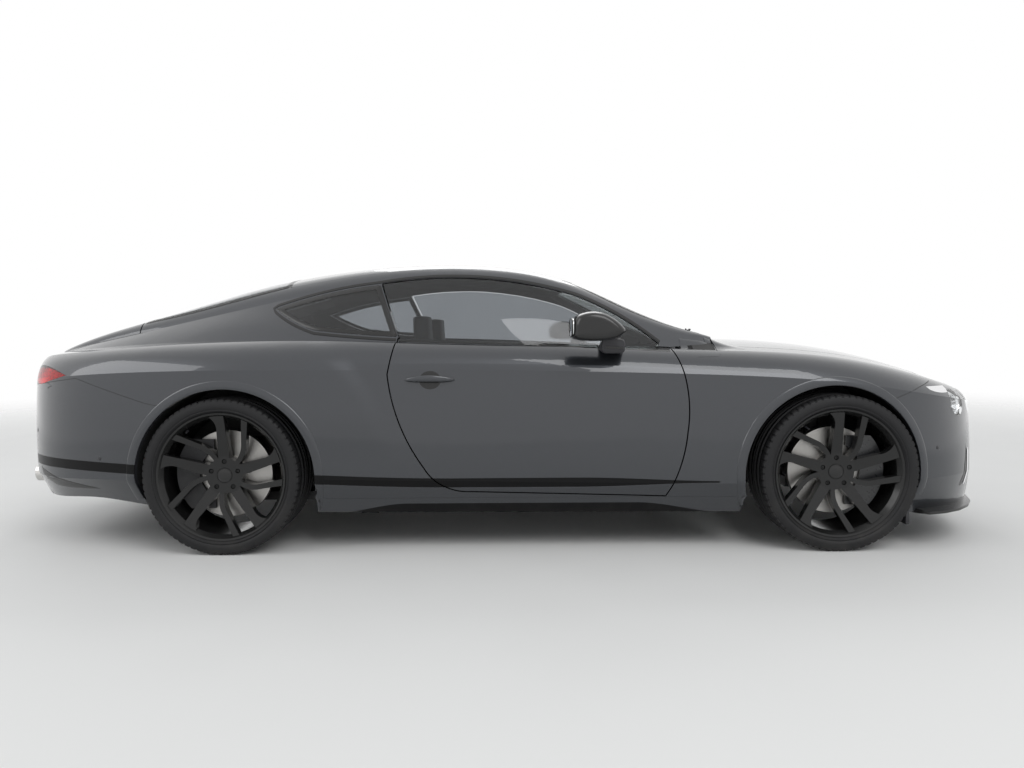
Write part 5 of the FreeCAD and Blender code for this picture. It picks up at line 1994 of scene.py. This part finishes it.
@dataclass
class Cabin:
    """Seats, dashboard details, console, rear shelf and steering-wheel trim."""

    seat_y: float = 0.375
    bench_y: float = 0.330

    def build(self) -> None:
        """Furnishes the cabin."""
        fronts = [self.front_seat(side) for side in Side]
        backs = [self.rear_place(side) for side in Side]
        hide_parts("front_seats")
        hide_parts("rear_seat")
        self.bench_middle()
        self.dash()
        self.console()
        self.shelf()
        self.wheel_trim()

    def front_seat(self, side: Side) -> bpy.types.Object:
        """A front seat's cushion, back, headrest and base.

        Args:
            side: Left or right.

        Returns:
            The cushion.
        """
        y, tag = side.value * self.seat_y, side.word
        line = ((0.262, 0.405), (0.150, 0.420), (0.0, 0.405), (-0.170, 0.388))
        cushion = Pad("front_cushion_" + tag, line, y, 0.240, 0.125, narrow=0.04).build(LEATHER)
        line = ((-0.185, 0.400), (-0.225, 0.520), (-0.300, 0.680), (-0.370, 0.840), (-0.408, 0.935))
        Pad("front_back_" + tag, line, y, 0.238, 0.110, narrow=0.22).build(LEATHER)
        line = ((-0.415, 0.925), (-0.424, 0.985), (-0.428, 1.045), (-0.430, 1.108))
        Pad("front_headrest_" + tag, line, y, 0.132, 0.085, bolster=0.004, crown=0.004, channels=0,
            narrow=0.12).build(LEATHER)
        base = Shape().block((-0.235, y - 0.200, 0.236), (0.215, y + 0.200, 0.345), 0.94)
        base.piece("seat_base_" + tag, "body", "trim_black", TRIM_BLACK, bevel=0.012)
        shell = []
        for k in range(15):
            share = k / 14
            x, z = -0.262 - 0.190 * share, 0.430 + 0.480 * share
            half = 0.205 - 0.030 * share
            shell.append([Vector((x + 0.018 * abs(v) ** 2.5 - 0.012, y + half * v, z))
                          for v in (-1 + j / 6 for j in range(13))])
        back = Shape().loft(shell)
        back.loft([[p + Vector((0.030, 0, 0.006)) for p in row] for row in shell])
        back.piece("seat_shell_" + tag, "body", "leather", LEATHER_PALE)
        return cushion

    def rear_place(self, side: Side) -> bpy.types.Object:
        """One rear place: cushion and back.

        Args:
            side: Left or right.

        Returns:
            The cushion.
        """
        y, tag = side.value * self.bench_y, side.word
        line = ((-0.565, 0.412), (-0.680, 0.415), (-0.800, 0.395), (-0.930, 0.380))
        cushion = Pad("rear_cushion_" + tag, line, y, 0.245, 0.130, narrow=0.02).build(LEATHER)
        line = ((-0.935, 0.420), (-1.000, 0.560), (-1.060, 0.700), (-1.120, 0.840), (-1.150, 0.915))
        Pad("rear_back_" + tag, line, y, 0.240, 0.120, narrow=0.12).build(LEATHER)
        return cushion

    def bench_middle(self) -> None:
        """The trimmed bridge between the rear places and the base under them."""
        base = Shape().block((-1.200, -0.560, 0.236), (-0.600, 0.560, 0.345), 0.97)
        base.piece("bench_base", "body", "leather", LEATHER_PALE, bevel=0.010)
        wall = Shape().block((-1.232, -0.585, 0.340), (-1.165, 0.585, 0.905))
        wall.piece("bench_back", "body", "leather", LEATHER_PALE, bevel=0.010)
        bridge = Shape().block((-0.990, -0.070, 0.340), (-0.640, 0.070, 0.430), 0.94)
        bridge.piece("bench_console", "body", "leather", LEATHER, bevel=0.014)

    def dash(self) -> None:
        """Screens, vents and the instrument hood."""
        foot = 0.755
        screen = Shape().block((0.536, -0.135, foot), (0.548, 0.135, 0.868))
        for point in screen.points:
            point.x += (point.z - foot) * 0.45
        screen.piece("dash_screen", "body", "trim_black", DARK_SCREEN, bevel=0.003)
        hood = []
        for k in range(21):
            turn = math.pi * k / 20
            y, z = self.seat_y + 0.155 * math.cos(turn), 0.868 + 0.062 * math.sin(turn) ** 0.7
            hood.append([Vector((x, y, z + lift)) for x, lift in
                         ((0.588, 0.0), (0.560, 0.004), (0.640, 0.008), (0.700, -0.006))])
        Shape().loft(hood).piece("cluster_hood", "body", "leather", LEATHER)
        dials = Shape()
        for y in (self.seat_y - 0.075, self.seat_y + 0.075):
            dials.turned([(0, 0.0), (0.060, 0.0), (0.060, 0.012), (0.054, 0.014), (0.052, 0.004), (0, 0.003)],
                         Vector((0.606, y, 0.878)), Vector((-0.94, 0, 0.34)).normalized(), 40)
        dials.piece("dash_dials", "body", "steel_bright", BRIGHT)
        bore, pitch = 0.030, 0.011
        for count, y in enumerate((0.640, 0.215, -0.215, -0.640)):
            vent = Shape().turned([(0, 0.010), (bore, 0.010), (0.033, 0.016), (0.040, 0.018), (0.043, 0.012),
                                   (0.043, -0.006), (0, -0.006)],
                                  Vector((0.546, y, 0.775)), Vector((-0.93, 0, 0.36)).normalized(), 36)
            for k in range(-2, 3):
                spot = Vector((0.535, y, 0.779 + pitch * k))
                half = math.sqrt(bore ** 2 - (pitch * k) ** 2)
                vent.rod([spot - Vector((0, half, 0)), spot + Vector((0, half, 0))], 0.0018, 6)
            vent.piece("dash_vent_%d" % (count + 1), "body", "steel_bright", BRIGHT)
        strip = Shape().rod([Vector((0.5435, y, 0.712 + 0.02 * abs(y)))
                             for y in (-0.68 + 1.36 * k / 40 for k in range(41))], 0.004, 8, 1.6)
        strip.piece("dash_strip", "body", "steel_bright", BRIGHT)

    def console(self) -> None:
        """The console's lid, lever, knob and cup rings."""
        lid = Shape().block((-0.415, -0.092, 0.518), (-0.130, 0.092, 0.556), 0.92)
        lid.piece("console_lid", "body", "leather", LEATHER, bevel=0.012, subdivide=1)
        stalk = [Vector((0.215, 0, 0.515)), Vector((0.222, 0, 0.560)), Vector((0.232, 0, 0.585))]
        lever = Shape().rod(stalk, 0.009, 12)
        lever.turned([(0, -0.020), (0.016, -0.018), (0.023, -0.004), (0.023, 0.012), (0.017, 0.024),
                      (0, 0.028)], Vector((0.236, 0, 0.598)), Vector((0.25, 0, 1)).normalized(), 24)
        lever.turned([(0, 0), (0.046, 0), (0.042, 0.010), (0.014, 0.022), (0, 0.022)],
                     Vector((0.215, 0, 0.518)), UP, 28)
        lever.piece("gear_lever", "body", "steel_bright", BRIGHT)
        cups = Shape()
        for x in (0.060, -0.035):
            cups.turned([(0.036, -0.002), (0.044, -0.002), (0.044, 0.003), (0.041, 0.005), (0.036, 0.003)],
                        Vector((x, 0.0, 0.520)), UP, 36)
        cups.piece("cup_rings", "body", "steel_bright", BRIGHT)
        panel = Shape().block((0.130, -0.088, 0.5185), (0.470, 0.088, 0.5230), 0.97)
        panel.piece("console_panel", "body", "gloss_black", GLOSS_BLACK, bevel=0.002)

    def shelf(self) -> None:
        """The cloth shelf under the rear window."""
        rows = []
        for k in range(13):
            x = -1.236 - 0.470 * k / 12
            half = 0.640 - 0.16 * k / 12
            rows.append([Vector((x, half * v, 0.912 + 0.060 * (k / 12) - 0.01 * v * v))
                         for v in (-1 + j / 8 for j in range(17))])
        shelf = Shape().loft(rows)
        shelf.loft([[p - Vector((0, 0, 0.012)) for p in row] for row in rows])
        shelf.piece("parcel_shelf", "body", "leather", ROOF_CLOTH)

    def wheel_trim(self) -> None:
        """The blank hub pad and the bright inlays of the steering wheel."""
        rake = math.radians(68)
        axis = Vector((-math.sin(rake), 0, math.cos(rake)))
        middle = Vector((0.430, self.seat_y, 0.800))
        pad = Shape().turned([(0, -0.004), (0.050, -0.002), (0.062, 0.004), (0.056, 0.018), (0.040, 0.026),
                              (0, 0.030)], middle + axis * 0.004, axis, 40)
        pad.piece("wheel_hub_pad", "body", "leather", LEATHER, sharp=60)
        ring = Shape().turned([(0.0225, 0.0), (0.0255, 0.0), (0.0255, 0.003), (0.0225, 0.003)],
                              middle + axis * 0.0315, axis, 40)
        ring.piece("wheel_hub_ring", "body", "steel_bright", BRIGHT)


@dataclass
class EngineBay:
    """The cover and pipes that are seen when the bonnet is up."""

    cover_from: float = 1.150
    cover_length: float = 0.560
    cover_half: float = 0.230
    cover_top: float = 0.858
    cover_foot: float = 0.812
    pipe_from: float = 1.20
    pipe_length: float = 0.60
    pipe_out: float = 0.275
    pipe_top: float = 0.790

    def build(self) -> None:
        """Makes the engine's dressing."""
        self.cover()
        for side in Side:
            points = []
            for k in range(15):
                share = k / 14
                out = self.pipe_out + 0.05 * math.sin(math.pi * share)
                points.append(Vector((self.pipe_from + self.pipe_length * share, side.value * out,
                                      self.pipe_top - 0.05 * share ** 2)))
            pipe = Shape().rod(points, 0.032, 20)
            pipe.piece("intake_pipe_" + side.word, "body", "engine_metal", CAST_METAL)

    def cover(self) -> None:
        """The ribbed cover over the engine, closed down to its foot."""
        rows = []
        for k in range(13):
            x = self.cover_from + self.cover_length * k / 12
            top = self.cover_top - 0.0015 * (k % 2) - 0.035 * max(0.0, (k - 8) / 4)
            rows.append([Vector((x, self.cover_half * v, top - 0.020 * abs(v) ** 3))
                         for v in (-1 + j / 10 for j in range(21))])
        feet = [[Vector((p.x, p.y, self.cover_foot)) for p in row] for row in rows]
        cover = Shape().loft(rows).loft(feet)
        for k in (0, -1):
            cover.loft([[row[k] for row in feet], [row[k] for row in rows]])
        for k in (0, -1):
            cover.loft([feet[k], rows[k]])
        cover.piece("engine_cover", "body", "gloss_black", TRIM_BLACK)


def main() -> None:
    """Builds the studio and the car's sub-assemblies in order."""
    logging.basicConfig(level=logging.INFO, format="%(name)s: %(message)s")
    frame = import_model()
    scene = bpy.context.scene
    scene.view_settings.view_transform = "Standard"
    nodes = frame["nodes"]
    Studio().build()
    Frame(nodes).dress()
    panels = ["roof_panel", "bonnet", "boot_lid", "front_bumper", "rear_bumper", "sills", "cowl_panel",
              "grille", "lower_intake", "rear_diffuser"]
    for side in Side:
        panels += ["body_side_" + side.word, "front_wing_" + side.word]
    body = Skin(nodes, panels)
    glass = Skin(nodes, ["windscreen", "rear_window", "quarter_windows"])
    doors = Skin(nodes, ["door_left", "door_right", "mirror_left", "mirror_right"])
    Wheels().build()
    outside = Skin(nodes, panels + ["quarter_windows", "door_left", "door_right", "door_glass_left",
                                    "door_glass_right"])
    BodyTrim(body, glass, outside).build()
    Doors(doors).build()
    Lamps(Skin(nodes, ["headlamps"]), Skin(nodes, ["tail_lamps"]), body).build()
    Nose(body).build()
    Tail(body).build()
    Wipers(body, glass).build()
    Cabin().build()
    EngineBay().build()


if __name__ == "__main__":
    main()
